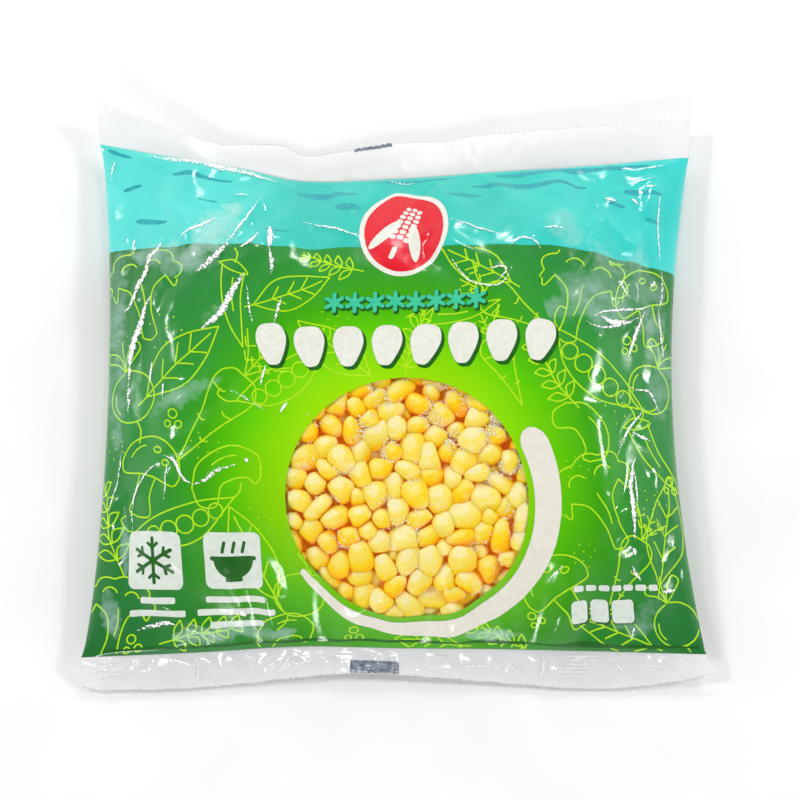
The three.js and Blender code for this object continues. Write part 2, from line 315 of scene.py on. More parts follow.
@dataclass(frozen=True)
class BagForm:
    """The filled bag's form, from the same named sizes as the part's source."""

    film_width: float = 222.0
    pack_height: float = 31.0
    seam_height: float = 9.0
    film_stack: float = 0.3
    belly_depth: float = 12.0
    body_length: float = 186.0
    table_gap: float = 0.35
    left_waist: Pair = (6.5, 0.6)
    right_waist: Pair = (13.5, 0.85)
    corner_draw: float = 4.5
    corner_reach: float = 46.0
    top_flare: float = 1.6
    bottom_flare: float = 4.8
    rise_across: Rise = Rise(3.2, 0.58)
    rise_along: Rise = Rise(2.8, 0.8)
    top_edge: Path = (
        (-112, 106.7), (-88, 100), (-68, 94.6), (-56, 95.1), (-44, 94.8), (-35, 90.8),
        (-26, 91.6), (-8, 94.4), (4, 95.4), (17, 95.3), (25, 97), (60, 99.8), (109, 103),
    )
    top_seal: Path = (
        (-110, 92.7), (-88, 88.5), (-58, 83.1), (-36, 78.5), (0, 79.4), (40, 82.4), (75, 84.7), (108, 87.5)
    )
    bottom_seal: Path = ((-110.5, -95.4), (-70, -93.6), (-35, -91.6), (0, -92.2), (40, -92.6), (110, -94.3))
    bottom_edge: Path = (
        (-111, -105.2), (-104, -106.3), (-70, -105.4), (-21, -100.8), (0, -101.2),
        (35, -103.8), (70, -105.9), (97, -103.4), (111, -100.4),
    )
    top_edge_height: Path = ((-112, 17), (-84, 9), (-50, 2.4), (0, 4.5), (50, 7), (109, 9))
    bottom_edge_height: Path = ((-111, 2), (-60, 1.6), (-10, 4), (40, 2.2), (80, 1.6), (111, 4.5))
    fin_bend: float = 1.3
    pucker_height: float = 1.3
    pucker_reach: float = 26.0
    pucker_root: float = 7.0
    pucker_waves: tuple[Wave, ...] = (Wave(19, 0.4, 1.0), Wave(31, 2.1, 0.8))
    samples: int = 601

    @property
    def half_width(self) -> float:
        """Half the width of the flat tube."""
        return self.film_width / 2

    def sides(self, along: Array) -> Arrays:
        """Finds where the left and the right side fold lie at places along, 0 to 1."""
        swell = np.maximum(0, np.sin(np.pi * along))
        left = -(self.half_width - self.left_waist[0] * swell ** self.left_waist[1])
        return left, self.half_width - self.right_waist[0] * swell ** self.right_waist[1]

    def seals(self, flat: Array) -> Arrays:
        """Finds how far up the bottom and the top seal lie at places across."""
        return through(self.bottom_seal, flat), through(self.top_seal, flat)

    def plan(self, across: Array, along: Array) -> Arrays:
        """Finds plan places of the body from places across, -1 to 1, and along, 0 to 1."""
        seals = self.seals(across * self.half_width)
        return mix(*self.sides(along), (across + 1) / 2), mix(*seals, along)

    def body(self, across: Array, along: Array) -> Arrays:
        """Finds points of the upper and the lower face of the body.

        Args:
            across: Places from -1 at the left side to 1 at the right.
            along: Places from 0 at the bottom seal to 1 at the top one.

        Returns:
            The upper points and the lower points.
        """
        x, y = self.plan(across, along)
        low, high = self.seals(across * self.half_width)
        to_seal = np.minimum(y - low, high - y)
        wide = self.rise_across.at(across)
        full = wide * self.rise_along.at(2 * along - 1)
        fade = np.exp(-to_seal / self.pucker_reach) * (1 - np.exp(-to_seal / self.pucker_root))
        waves = sum(wave.share * np.cos(2 * np.pi * x / wave.pitch + wave.phase) for wave in self.pucker_waves)
        rim = self.seam_height + self.film_stack / 2
        upper = rim + (self.pack_height - rim) * full + self.pucker_height * fade * waves * wide
        lower = self.seam_height - self.film_stack / 2 - self.belly_depth * full
        lower = np.maximum(self.table_gap, lower)
        return np.stack([x, y, upper], -1), np.stack([x, y, lower], -1)

    def under(self, x: Array, y: Array) -> Arrays:
        """Finds the back of the bag at plan places away from its corners.

        Args:
            x: Places across, in millimetres.
            y: Places up.

        Returns:
            The height of the film's lower face, and the share of the way up from seal to seal.
        """
        flat = x
        for _ in range(4):
            low, high = self.seals(flat)
            along = np.clip((y - low) / (high - low), 0, 1)
            left, right = self.sides(along)
            across = np.clip(2 * (x - left) / (right - left) - 1, -1, 1)
            flat = across * self.half_width
        full = self.rise_across.at(across) * self.rise_along.at(2 * along - 1)
        height = self.seam_height - self.film_stack / 2 - self.belly_depth * full
        return np.maximum(self.table_gap, height), along

    def lay(self, us: Array, vs: Array, face: int) -> Array:
        """Lays an even lattice of the flat film over one face of the body.

        Args:
            us: Places across, from minus to plus half the film's width.
            vs: Places up, from 0 to the body's length.
            face: 0 for the upper face and 1 for the lower.

        Returns:
            The points of the lattice.
        """
        even = np.linspace(-1, 1, self.samples)
        across = np.sign(even) * (1 - (1 - np.abs(even)) ** 1.6)
        along = (1 - np.cos(np.pi * (even + 1) / 2)) / 2
        points = self.body(*np.meshgrid(across, along, indexing="ij"))[face]
        wide = np.linalg.norm(np.diff(points, axis=0), axis=-1).cumsum(0)
        wide = np.vstack([np.zeros((1, self.samples)), wide])
        wide = (wide / wide[-1:] - 0.5) * self.film_width
        long = np.linalg.norm(np.diff(points, axis=1), axis=-1).cumsum(1)
        long = np.hstack([np.zeros((self.samples, 1)), long])
        long = long / long[:, -1:] * self.body_length
        layers = [*np.moveaxis(points, -1, 0), long]
        rows = np.empty((len(layers), len(us), self.samples))
        for layer, values in enumerate(layers):
            for k in range(self.samples):
                rows[layer, :, k] = np.interp(us, wide[:, k], values[:, k])
        laid = np.empty((len(us), len(vs), 3))
        for i in range(len(us)):
            for axis in range(3):
                laid[i, :, axis] = np.interp(vs, rows[3, i], rows[axis, i])
        swell = np.maximum(0, np.sin(np.pi * vs / self.body_length)) ** self.right_waist[1]
        laid[..., 0] -= self.gathered(us)[:, None] * self.corner_draw * (1 - swell)
        return laid

    def gathered(self, flat: Array) -> Array:
        """Finds how much of the draw at the right corners each place across takes, from 0 to 1."""
        return smooth_step(self.half_width - self.corner_reach, self.half_width, flat)

    def fin(self, flat: Array, out: Array, end: End) -> Array:
        """Finds points of the middle of an end fin.

        Args:
            flat: Places across, in millimetres.
            out: Places from 0 at the seal to 1 at the cut edge.
            end: Which end's fin it is.

        Returns:
            The points.
        """
        top = end is End.TOP
        seal = through(self.top_seal if top else self.bottom_seal, flat)
        edge = through(self.top_edge if top else self.bottom_edge, flat)
        height = through(self.top_edge_height if top else self.bottom_edge_height, flat)
        z = mix(self.seam_height, height, out**self.fin_bend)
        flare = self.top_flare if top else self.bottom_flare
        x = flat - self.gathered(flat) * (self.corner_draw - flare * out)
        return np.stack([x, mix(seal, edge, out), z], -1)


@dataclass(frozen=True)
class Crease:
    """One fold line pressed into the film.

    Attributes:
        path: The line, in film coordinates.
        height: How far the film stands up along it, or sinks if negative.
        width: How fast it falls off to the sides.
    """

    path: Path
    height: float
    width: float

    def rounded_path(self) -> Array:
        """Cuts the corners of the path twice, so that the fold runs in a curve.

        Returns:
            The points of the curve.
        """
        points = np.array(self.path, float)
        for _ in range(2):
            near = 0.75 * points[:-1] + 0.25 * points[1:]
            far = 0.25 * points[:-1] + 0.75 * points[1:]
            inner = np.stack([near, far], 1).reshape(-1, 2)
            points = np.vstack([points[:1], inner, points[-1:]])
        return points

    def add_to(self, lift: Array, u: Array, v: Array) -> None:
        """Adds the fold's height to a lattice of heights.

        Args:
            lift: The heights, which it changes.
            u: Places across.
            v: Places up.
        """
        path = self.rounded_path()
        reach = 5 * self.width
        low, high = path.min(0) - reach, path.max(0) + reach
        near = (u > low[0]) & (u < high[0]) & (v > low[1]) & (v < high[1])
        if not near.any():
            return
        a, b = u[near], v[near]
        steps = np.linalg.norm(np.diff(path, axis=0), axis=1)
        best = np.full(a.shape, np.inf)
        place = np.zeros(a.shape)
        start = 0.0
        for (x0, y0), (x1, y1), length in zip(path[:-1], path[1:], steps):
            dx, dy = x1 - x0, y1 - y0
            s = np.clip(((a - x0) * dx + (b - y0) * dy) / length**2, 0, 1)
            away = np.hypot(a - x0 - s * dx, b - y0 - s * dy)
            closer = away < best
            best = np.where(closer, away, best)
            place = np.where(closer, start + s * length, place)
            start += length
        taper = np.sin(np.pi * np.clip(place / start, 0, 1)) ** 0.7
        soft = 0.35 * self.width
        ridge = np.exp(-(np.sqrt(best**2 + soft**2) - soft) / self.width)
        trough = 0.3 * np.exp(-(((best - 2.6 * self.width) / self.width) ** 2))
        lift[near] += self.height * taper * (ridge - trough)


@dataclass(frozen=True)
class WhiteFold:
    """A white line or patch on the film: partly film that handling turned white, partly painted glints and
    sheen.

    Attributes:
        path: Its middle line, in film coordinates.
        width: Its width in the middle, before it thins out to both ends.
        strength: How white it is, from 0 to 1.
    """

    path: Path
    width: float
    strength: float

    def crease(self) -> Crease:
        """Gives the fold that the white line marks."""
        return Crease(self.path, 0.55 * self.strength, max(0.9, 0.6 * self.width))


@dataclass(frozen=True)
class FilmSettling:
    """How the slack film settles over the corn, as a cloth simulation.

    The film is a little larger than the form that it covers. The seals and the side folds hold
    it, and the corn below holds it lightly, so it buckles into the folds of a handled bag.

    Attributes:
        step: Size of a step of the simulated sheet.
        slack: How much larger the film is, as a share.
        hold: How lightly the corn holds it, from 0 to 1.
        stiffness: Its resistance to stretch.
        bending: Its resistance to folding.
        frames: How long it settles.
        calm_width: How far in from the side folds the film has less slack.
        scale: Size of a millimetre in the simulation, where the bag is ten times larger.
        swell: Width of the slow swells that are taken out, so that the form stays.
        cap: Height that no fold passes.
    """

    step: float = 1.5
    slack: float = 0.06
    hold: float = 0.05
    stiffness: float = 20.0
    bending: float = 0.5
    frames: int = 20
    calm_width: float = 30.0
    scale: float = 0.01
    swell: float = 14.0
    cap: float = 2.8

    def heights(self, form: BagForm) -> tuple[Array, Array, Array]:
        """Settles the film.

        Args:
            form: The form that it covers.

        Returns:
            The places across and up of a lattice, and how far the film stands off the form there.
        """
        us = np.linspace(-form.half_width, form.half_width, round(form.film_width / self.step) + 1)
        vs = np.linspace(0, form.body_length, round(form.body_length / self.step) + 1)
        u, v = np.meshgrid(us, vs, indexing="ij")
        base = form.lay(us, vs, 0)
        mesh = bpy.data.meshes.new("settling_film")
        mesh.from_pydata((base.reshape(-1, 3) * self.scale).tolist(), [], lattice_faces(len(us), len(vs)))
        sheet = bpy.data.objects.new("settling_film", mesh)
        bpy.context.scene.collection.objects.link(sheet)
        to_edge = np.minimum(np.minimum(v, form.body_length - v), form.half_width - np.abs(u))
        calm = np.clip(1 - (form.half_width - np.abs(u)) / self.calm_width, 0, 1)
        calm = np.clip(calm + 0.3 * noise_over(u, v, 40, 5.0), 0, 1)
        held = np.where(to_edge < 0.1, 1.0, self.hold)
        for name, weights in (("held", held), ("calm", calm)):
            group = sheet.vertex_groups.new(name=name)
            for index, weight in enumerate(weights.ravel().tolist()):
                group.add([index], weight, "REPLACE")
        self.simulate(sheet)
        settled = sheet.evaluated_get(bpy.context.evaluated_depsgraph_get())
        points = np.empty(base.size)
        settled.data.vertices.foreach_get("co", points)
        moved = points.reshape(base.shape) / self.scale - base
        bpy.data.objects.remove(sheet)
        bpy.context.scene.frame_set(1)
        height = (moved * lattice_normals(base)).sum(-1)
        height -= soften(height, self.swell / self.step)
        return us, vs, self.cap * np.tanh(height / self.cap)

    def simulate(self, sheet: Piece) -> None:
        """Runs Blender's cloth on the sheet.

        Args:
            sheet: The sheet, with its two groups of weights.
        """
        cloth = sheet.modifiers.new("film", "CLOTH")
        cloth.collision_settings.use_self_collision = False
        settings = cloth.settings
        settings.vertex_group_mass = "held"
        settings.pin_stiffness = 1.0
        settings.vertex_group_shrink = "calm"
        settings.shrink_min = -self.slack
        settings.shrink_max = 0.0
        settings.quality = 6
        settings.mass = 0.3
        settings.tension_stiffness = self.stiffness
        settings.compression_stiffness = self.stiffness
        settings.shear_stiffness = self.stiffness / 2
        settings.bending_stiffness = self.bending
        settings.tension_damping = 5
        settings.compression_damping = 5
        settings.air_damping = 2
        settings.effector_weights.gravity = 0
        for moment in range(1, self.frames + 1):
            bpy.context.scene.frame_set(moment)


@dataclass(frozen=True)
class Crumple:
    """Everything that keeps the film from lying smooth over the corn.

    Attributes:
        folds: The long folds, one by one.
        settling: How the film buckles as it settles.
        settled_share: How much of that shows.
        seed: Seed of the small creases.
        small_creases: How many small creases there are.
        swell_height: Height of the slow unevenness of the fill.
        lump_height: Height of the lumps that the kernels press into the film.
        ripple_height: Height of the fine ripples.
    """

    folds: tuple[Crease, ...]
    settling: FilmSettling = FilmSettling()
    settled_share: float = 0.75
    seed: int = 7
    small_creases: int = 60
    swell_height: float = 0.6
    swell_pitch: float = 34.0
    lump_height: float = 0.16
    lump_pitch: float = 10.0
    ripple_height: float = 0.04
    ripple_pitch: float = 4.2
    seal_fade: float = 5.0
    side_fade: float = 7.0

    def small(self, form: BagForm) -> list[Crease]:
        """Draws the small creases: they cross the seals and follow the sides.

        Args:
            form: The smooth form.

        Returns:
            The creases.
        """
        draw = np.random.default_rng(self.seed)
        creases = []
        for _ in range(self.small_creases):
            u = draw.uniform(-0.97, 0.97) * form.half_width
            v = form.body_length * draw.uniform(0.02, 0.98)
            edge = max(abs(u) / form.half_width, abs(2 * v / form.body_length - 1))
            if draw.random() > 0.25 + edge**3:
                continue
            angle = math.pi / 2 + draw.normal(0, 0.45 if edge > 0.7 else 1.0)
            half = draw.uniform(5, 17)
            bend = draw.normal(0, 2.2)
            step = (half * math.cos(angle), half * math.sin(angle))
            side = (-bend * math.sin(angle), bend * math.cos(angle))
            path = ((u - step[0], v - step[1]), (u + side[0], v + side[1]), (u + step[0], v + step[1]))
            height = draw.choice([-1, 1], p=[0.35, 0.65]) * draw.uniform(0.12, 0.5)
            creases.append(Crease(path, float(height), draw.uniform(1.0, 2.4)))
        return creases

    def lift(self, u: Array, v: Array, form: BagForm) -> Array:
        """Adds up how far the film stands off its smooth form.

        Args:
            u: Film coordinates across.
            v: Film coordinates up.
            form: The smooth form.

        Returns:
            The distance at each place, along the film's normal.
        """
        lift = self.swell_height * noise_over(u, v, self.swell_pitch, 3.1)
        lift += self.lump_height * noise_over(u, v, self.lump_pitch, 11.7)
        lift += self.ripple_height * noise_over(u, v, self.ripple_pitch, 27.3)
        for crease in (*self.folds, *self.small(form)):
            crease.add_to(lift, u, v)
        lift += self.settled_share * look_up(*self.settling.heights(form), u, v)
        lift = soften(lift, 0.7)
        to_seal = np.minimum(v, form.body_length - v)
        to_side = form.half_width - np.abs(u)
        return lift * (1 - np.exp(-to_seal / self.seal_fade)) * (1 - np.exp(-to_side / self.side_fade))


class FilmSkin:
    """The upper face of the filled film, as a lattice with even steps on the flat film."""

    def __init__(self, form: BagForm, crumple: Crumple, step: float) -> None:
        """Lays the film over the form and crumples it.

        Args:
            form: The smooth form.
            crumple: What makes it uneven.
            step: Size of a lattice step in millimetres.
        """
        self.form = form
        columns = round(form.film_width / step)
        rows = round(form.body_length / step)
        self.us = np.linspace(-form.half_width, form.half_width, columns + 1)
        self.vs = np.linspace(0, form.body_length, rows + 1)
        base = form.lay(self.us, self.vs, 0)
        u, v = np.meshgrid(self.us, self.vs, indexing="ij")
        lift = crumple.lift(u, v, form)
        self.points = base + lattice_normals(base) * lift[..., None]
        self.normals = lattice_normals(self.points)

    def sample(self, u: Array, v: Array) -> Arrays:
        """Finds points and normals of the film at film coordinates."""
        points = look_up(self.us, self.vs, self.points, u, v)
        normals = look_up(self.us, self.vs, self.normals, u, v)
        return points, normals / np.linalg.norm(normals, axis=-1, keepdims=True)

    def height_over(self, x: Array, y: Array) -> Array:
        """Finds the film's height over plan places in the middle of the bag.

        Args:
            x: Plan places across.
            y: Plan places up.

        Returns:
            The heights.
        """
        u = np.array(x, float)
        v = np.array(y, float) + self.form.body_length / 2
        for _ in range(8):
            points, _normals = self.sample(u, v)
            u += x - points[..., 0]
            v += y - points[..., 1]
        return self.sample(u, v)[0][..., 2]


def linear(code: str) -> tuple[float, float, float, float]:
    """Turns an sRGB hex value such as #5fe1d9 into a linear colour with full alpha."""
    parts = [int(code[k : k + 2], 16) / 255 for k in (1, 3, 5)]
    red, green, blue = (c / 12.92 if c <= 0.04045 else ((c + 0.055) / 1.055) ** 2.4 for c in parts)
    return red, green, blue, 1.0


def scale_for(pitch: float) -> float:
    """Gives a pattern's scale from the size of one of its lumps in millimetres."""
    return 1 / (pitch * MM)


def add_node(
    tree: bpy.types.NodeTree, kind: str, links: dict[str | int, object] | Sequence[object] = (),
    stops: Stops = (), **settings: object,
) -> bpy.types.Node:
    """Adds a node with its settings and feeds its inputs.

    Args:
        tree: The node tree.
        kind: Blender's name for the kind of shader node, without its first word.
        links: What feeds the inputs, by name or number, or in order. It is a value, an sRGB hex
            colour, an output, or a node whose first output in use is meant.
        stops: A colour ramp's places and sRGB hex values.
        **settings: Properties of the node.

    Returns:
        The new node.
    """
    made = tree.nodes.new("ShaderNode" + kind)
    for name, value in settings.items():
        setattr(made, name, value)
    for name, value in links.items() if isinstance(links, dict) else enumerate(links):
        if isinstance(value, bpy.types.Node):
            value = next(output for output in value.outputs if output.enabled)
        if isinstance(value, bpy.types.NodeSocket):
            tree.links.new(value, made.inputs[name])
        else:
            made.inputs[name].default_value = linear(value) if isinstance(value, str) else value
    if stops:
        elements = made.color_ramp.elements
        while len(elements) < len(stops):
            elements.new(0.5)
        for element, (place, code) in zip(elements, stops):
            element.position, element.color = place, linear(code)
    return made


@dataclass(frozen=True)
class Finish:
    """One finish, built as a node material when a piece first asks for it."""

    name: str

    def surface(self, node: AddNode, place: bpy.types.NodeSocket) -> bpy.types.Node:
        """Builds the surface.

        Args:
            node: Adds a node to the material.
            place: The object's own coordinates.

        Returns:
            The node whose output is the surface.
        """
        raise NotImplementedError

    def material(self) -> bpy.types.Material:
        """Gives the finish's material, the same for every piece that has it.

        Returns:
            The material.
        """
        if self.name in bpy.data.materials:
            return bpy.data.materials[self.name]
        material = bpy.data.materials.new(self.name)
        material.use_nodes = True
        material.node_tree.nodes.clear()
        node = partial(add_node, material.node_tree)
        node("OutputMaterial", [self.surface(node, node("TexCoord").outputs["Object"])])
        return material


@dataclass(frozen=True)
class FilmGloss:
    """Blown polyethylene film: slightly hazy gloss with die lines and handling crinkles.

    The eye sees a soft sheen that breaks up over the fine crinkles, because the film cooled
    without touching a roller.
    """

    ior: float = 1.51
    shine: float = 0.38
    roughness: float = 0.11
    rough_spread: float = 0.16
    haze_pitch: float = 17.0
    crinkle_pitch: float = 2.6
    crinkle_height: float = 0.12

    def inputs(self, node: AddNode, place: bpy.types.NodeSocket) -> dict[str, object]:
        """Gives what a Principled shader needs for the film's gloss and crinkles.

        Args:
            node: Adds a node to the material.
            place: The object's own coordinates.

        Returns:
            The shader's inputs by name.
        """
        haze = node("TexNoise", {"Vector": place, "Scale": scale_for(self.haze_pitch), "Detail": 3.0})
        fine = {"Scale": scale_for(self.crinkle_pitch), "Detail": 4.0, "Roughness": 0.55}
        crinkle = node("TexNoise", {"Vector": place, **fine})
        high = self.roughness + self.rough_spread
        height = {"Height": crinkle, "Strength": 0.5, "Distance": self.crinkle_height * MM}
        return {
            "Roughness": node("MapRange", [haze, 0.45, 0.65, self.roughness, high]),
            "Normal": node("Bump", height), "IOR": self.ior, "Specular IOR Level": self.shine,
        }


@dataclass(frozen=True)
class PrintedPolyethylene(Finish):
    """White polyethylene film with reverse flexographic print: turquoise over a green glow.

    The ink lies under the gloss, so the colours are even and deep and the shine is the film's.
    """

    name: str = "reverse_printed_polyethylene"
    gloss: FilmGloss = FilmGloss()
    border: float = 148.0
    glow_centre: Pair = (2.5, 62.0)
    glow_squeeze: Pair = (1.07, 1.12)
    glow_reach: float = 150.0
    glow_wander: float = 9.0
    teal: Stops = (
        (0.0, "#5fe2da"), (0.22, "#57dcd2"), (0.34, "#37c8ba"), (0.5, "#30c6b6"),
        (0.75, "#3fd2c6"), (1.0, "#3ed6cf"),
    )
    green: Stops = (
        (0.26, "#9ee400"), (0.34, "#86dc00"), (0.42, "#5ecc00"), (0.5, "#42ac0e"),
        (0.6, "#339834"), (0.74, "#308c40"), (1.0, "#2b7a3a"),
    )
    half_width: float = 111.0
    haze_pitch: float = 26.0
    foot_shade: float = 0.76

    def surface(self, node: AddNode, place: bpy.types.NodeSocket) -> bpy.types.Node:
        """Builds the printed film from the print's own coordinates.

        Args:
            node: Adds a node to the material.
            place: The object's own coordinates.

        Returns:
            The node whose output is the surface.
        """
        film = node("UVMap", uv_map="film")
        parts = node("SeparateXYZ", [film]).outputs
        u, v = parts["X"], parts["Y"]
        centre = (self.glow_centre[0] * MM, self.glow_centre[1] * MM, 0.0)
        offset = node("VectorMath", [film, centre], operation="SUBTRACT")
        squeezed = node("VectorMath", [offset, (*self.glow_squeeze, 0.0)], operation="MULTIPLY")
        far = node("VectorMath", [squeezed], operation="LENGTH")
        rough = {"Scale": scale_for(self.haze_pitch), "Detail": 3.0, "Roughness": 0.55}
        cloud = node("TexNoise", {"Vector": film, **rough})
        wander = self.glow_wander * MM
        reach = node("Math", [far, node("MapRange", [cloud, 0, 1, -wander, wander])], operation="ADD")
        share = node("Math", [reach, self.glow_reach * MM], operation="DIVIDE")
        green = node("ValToRGB", [share], self.green)
        side = node("MapRange", [u, -self.half_width * MM, self.half_width * MM])
        teal = node("ValToRGB", [side], self.teal)
        over = node("MapRange", [v, (self.border - 0.1) * MM, (self.border + 0.1) * MM])
        fields = node("Mix", {0: over, 6: green, 7: teal}, data_type="RGBA")
        # The flexo plate lays ink a little unevenly, which shows as a faint cloudiness.
        density = node("MapRange", [cloud, 0.3, 0.7, 0.93, 1.05])
        # Painted shade: the colour darkens towards the bottom seal, to foot_shade of itself at the foot.
        painted_foot_shade = node("MapRange", [v, 10 * MM, 90 * MM, self.foot_shade])
        laid = node("Math", [density, painted_foot_shade], operation="MULTIPLY")
        shaded_print = node("VectorMath", {0: fields, "Scale": laid}, operation="SCALE")
        return node("BsdfPrincipled", {"Base Color": shaded_print, **self.gloss.inputs(node, place)})


@dataclass(frozen=True)
class PrintInk(Finish):
    """One flat ink under the film's gloss, laid a little unevenly by the plate."""

    colour: str
    worn: str
    pitch: float = 2.2
    gloss: FilmGloss = FilmGloss()

    def surface(self, node: AddNode, place: bpy.types.NodeSocket) -> bpy.types.Node:
        """Builds the ink with its faint mottle.

        Args:
            node: Adds a node to the material.
            place: The object's own coordinates.

        Returns:
            The node whose output is the surface.
        """
        grain = node("TexNoise", {"Vector": place, "Scale": scale_for(self.pitch), "Detail": 4.0})
        tint = node("ValToRGB", [grain], ((0.35, self.worn), (0.6, self.colour)))
        return node("BsdfPrincipled", {"Base Color": tint, **self.gloss.inputs(node, place)})


@dataclass(frozen=True)
class ClearPolyethylene(Finish):
    """Unprinted blown film: see-through, with a gloss that shows only where it catches light.

    Attributes:
        tint: Colour of what comes through.
        body: Colour of the film's own haze.
        cloud: Share of the haze, from 0 to 1.
        roughness: Roughness of its gloss.
        crinkle_pitch: Size of its fine crinkles.
        head_on: Share of light that it mirrors head on.
    """

    tint: str
    body: str
    cloud: float
    roughness: float
    crinkle_pitch: float
    head_on: float = 0.045

    def surface(self, node: AddNode, place: bpy.types.NodeSocket) -> bpy.types.Node:
        """Builds the film from a clear share, a hazy share and a gloss.

        Args:
            node: Adds a node to the material.
            place: The object's own coordinates.

        Returns:
            The node whose output is the surface.
        """
        crinkle = node("TexNoise", {"Vector": place, "Scale": scale_for(self.crinkle_pitch), "Detail": 3.0})
        bump = node("Bump", {"Height": crinkle, "Strength": 0.5, "Distance": 0.1 * MM})
        clear = node("BsdfTransparent", {"Color": self.tint})
        body = node("ValToRGB", [crinkle], ((0.3, self.body), (0.75, "#ffffff")))
        hazy = node("BsdfDiffuse", {"Color": body, "Normal": bump})
        film = node("MixShader", [self.cloud, clear, hazy])
        gloss = node("BsdfGlossy", {"Roughness": self.roughness, "Normal": bump})
        # A thin film mirrors as much from inside as from outside: 4 % head on, all at a glance.
        tilt = node("LayerWeight", {"Blend": 0.5, "Normal": bump}).outputs["Facing"]
        steep = node("Math", [tilt, 5.0], operation="POWER")
        return node("MixShader", [node("MapRange", [steep, 0, 1, self.head_on]), film, gloss])


@dataclass(frozen=True)
class WearAndSheenPolyethylene(Finish):
    """Polyethylene that handling turned white, with painted light laid over it.

    Tiny tears and scratches in it scatter the light, and the eye sees ragged chalky lines along hard
    folds, which also serve as painted highlights for the folds' glints. The thin milky veil is a
    painted sheen of reflected light.

    Attributes:
        colour: Colour of the scattered light, and of the painted highlights and sheen.
        grain: Size of its ragged spots.
        contrast: How much denser the whitening and painted sheen are in a spot than beside it, from 0 to 1.
        sharpness: How hard the spots' edges are.
        roughness: Roughness of the worn face.
    """

    colour: str
    grain: float
    contrast: float
    sharpness: float
    roughness: float = 0.3

    def surface(self, node: AddNode, place: bpy.types.NodeSocket) -> bpy.types.Node:
        """Builds the worn film from each point's own share of whitening and painted light.

        Args:
            node: Adds a node to the material.
            place: The object's own coordinates.

        Returns:
            The node whose output is the surface.
        """
        # Painted light: this share holds real whitening together with painted highlights and painted sheen.
        wear = node("Attribute", attribute_name="wear").outputs["Fac"]
        rough = {"Scale": scale_for(self.grain), "Detail": 4.0, "Roughness": 0.62}
        spots = node(
            "MapRange", [node("TexNoise", {"Vector": place, **rough}), 0.36, 0.62, 1.0 - self.contrast]
        )
        both = node("Math", [wear, spots], operation="ADD")
        white_share = node("MapRange", [both, 1.0, 1.0 + 1 / self.sharpness])
        white_face = node("BsdfPrincipled", {"Base Color": self.colour, "Roughness": self.roughness})
        return node("MixShader", [white_share, node("BsdfTransparent"), white_face])


@dataclass(frozen=True)
class SweetcornSkin(Finish):
    """Blanched, frozen sweetcorn: a taut waxy skin over wet starchy flesh, dusted with frost.

    Light goes a few millimetres into the flesh, so the kernels glow at their thin edges. Painted
    shade makes them look deeper in the gaps, a painted highlight pales the side facing the main
    light, and a painted amber glow keeps the gaps from going black. The frost settled from the air
    in the bag, so it lies in patches.
    """

    name: str = "frozen_sweetcorn_skin"
    skin: Stops = ((0.0, "#fba600"), (0.42, "#ffd814"), (0.82, "#ffea76"), (1.0, "#ffefb2"))
    tip: str = "#ffee98"
    frost: str = "#fff7dc"
    painted_glow: str = "#ff9a0a"
    mottle_pitch: float = 1.4
    frost_pitch: float = 7.0
    frost_grain: float = 0.35

    def surface(self, node: AddNode, place: bpy.types.NodeSocket) -> bpy.types.Node:
        """Builds the skin from each kernel's lightness: its own random lightness with painted highlight and
        shade.

        Args:
            node: Adds a node to the material.
            place: The object's own coordinates.

        Returns:
            The node whose output is the surface.
        """
        # Painted light: this attribute carries painted highlight and painted shade besides each kernel's own
        # lightness.
        tone = node("Attribute", attribute_name="tone").outputs["Fac"]
        tip = node("Attribute", attribute_name="tip").outputs["Fac"]
        mottle = node("TexNoise", {"Vector": place, "Scale": scale_for(self.mottle_pitch), "Detail": 3.0})
        shade = node("MapRange", [mottle, 0.3, 0.7, -0.09, 0.09])
        level = node("Math", [tone, shade], operation="ADD", use_clamp=True)
        skin = node("ValToRGB", [level], self.skin)
        # Painted glow: an amber emission, strongest where the skin is darkest, stands in for the light that
        # neighbours pass on through their flesh, so the gaps look amber and never black.
        painted_glow = node("MapRange", [level, 0.0, 0.6, 0.1, 0.01])
        ended = node("Mix", {0: tip, 6: skin, 7: self.tip}, data_type="RGBA")
        patch = node("TexNoise", {"Vector": place, "Scale": scale_for(self.frost_pitch), "Detail": 2.0})
        grain = node("TexNoise", {"Vector": place, "Scale": scale_for(self.frost_grain), "Detail": 2.0})
        both = node("Math", [patch, grain], operation="ADD")
        frosted = node("MapRange", [both, 1.12, 1.3, 0.0, 0.6])
        coat = node("Mix", {0: frosted, 6: ended, 7: self.frost}, data_type="RGBA")
        bump = node("Bump", {"Height": grain, "Strength": 0.25, "Distance": 0.08 * MM})
        return node(
            "BsdfPrincipled",
            {
                "Base Color": coat, "Normal": bump, "Roughness": 0.42, "IOR": 1.4,
                "Specular IOR Level": 0.08, "Coat Weight": 0.1, "Coat Roughness": 0.22,
                "Subsurface Weight": 0.35, "Subsurface Radius": (1.0, 0.6, 0.1),
                "Subsurface Scale": 3.0 * MM,
                "Emission Color": self.painted_glow, "Emission Strength": painted_glow,
            },
        )


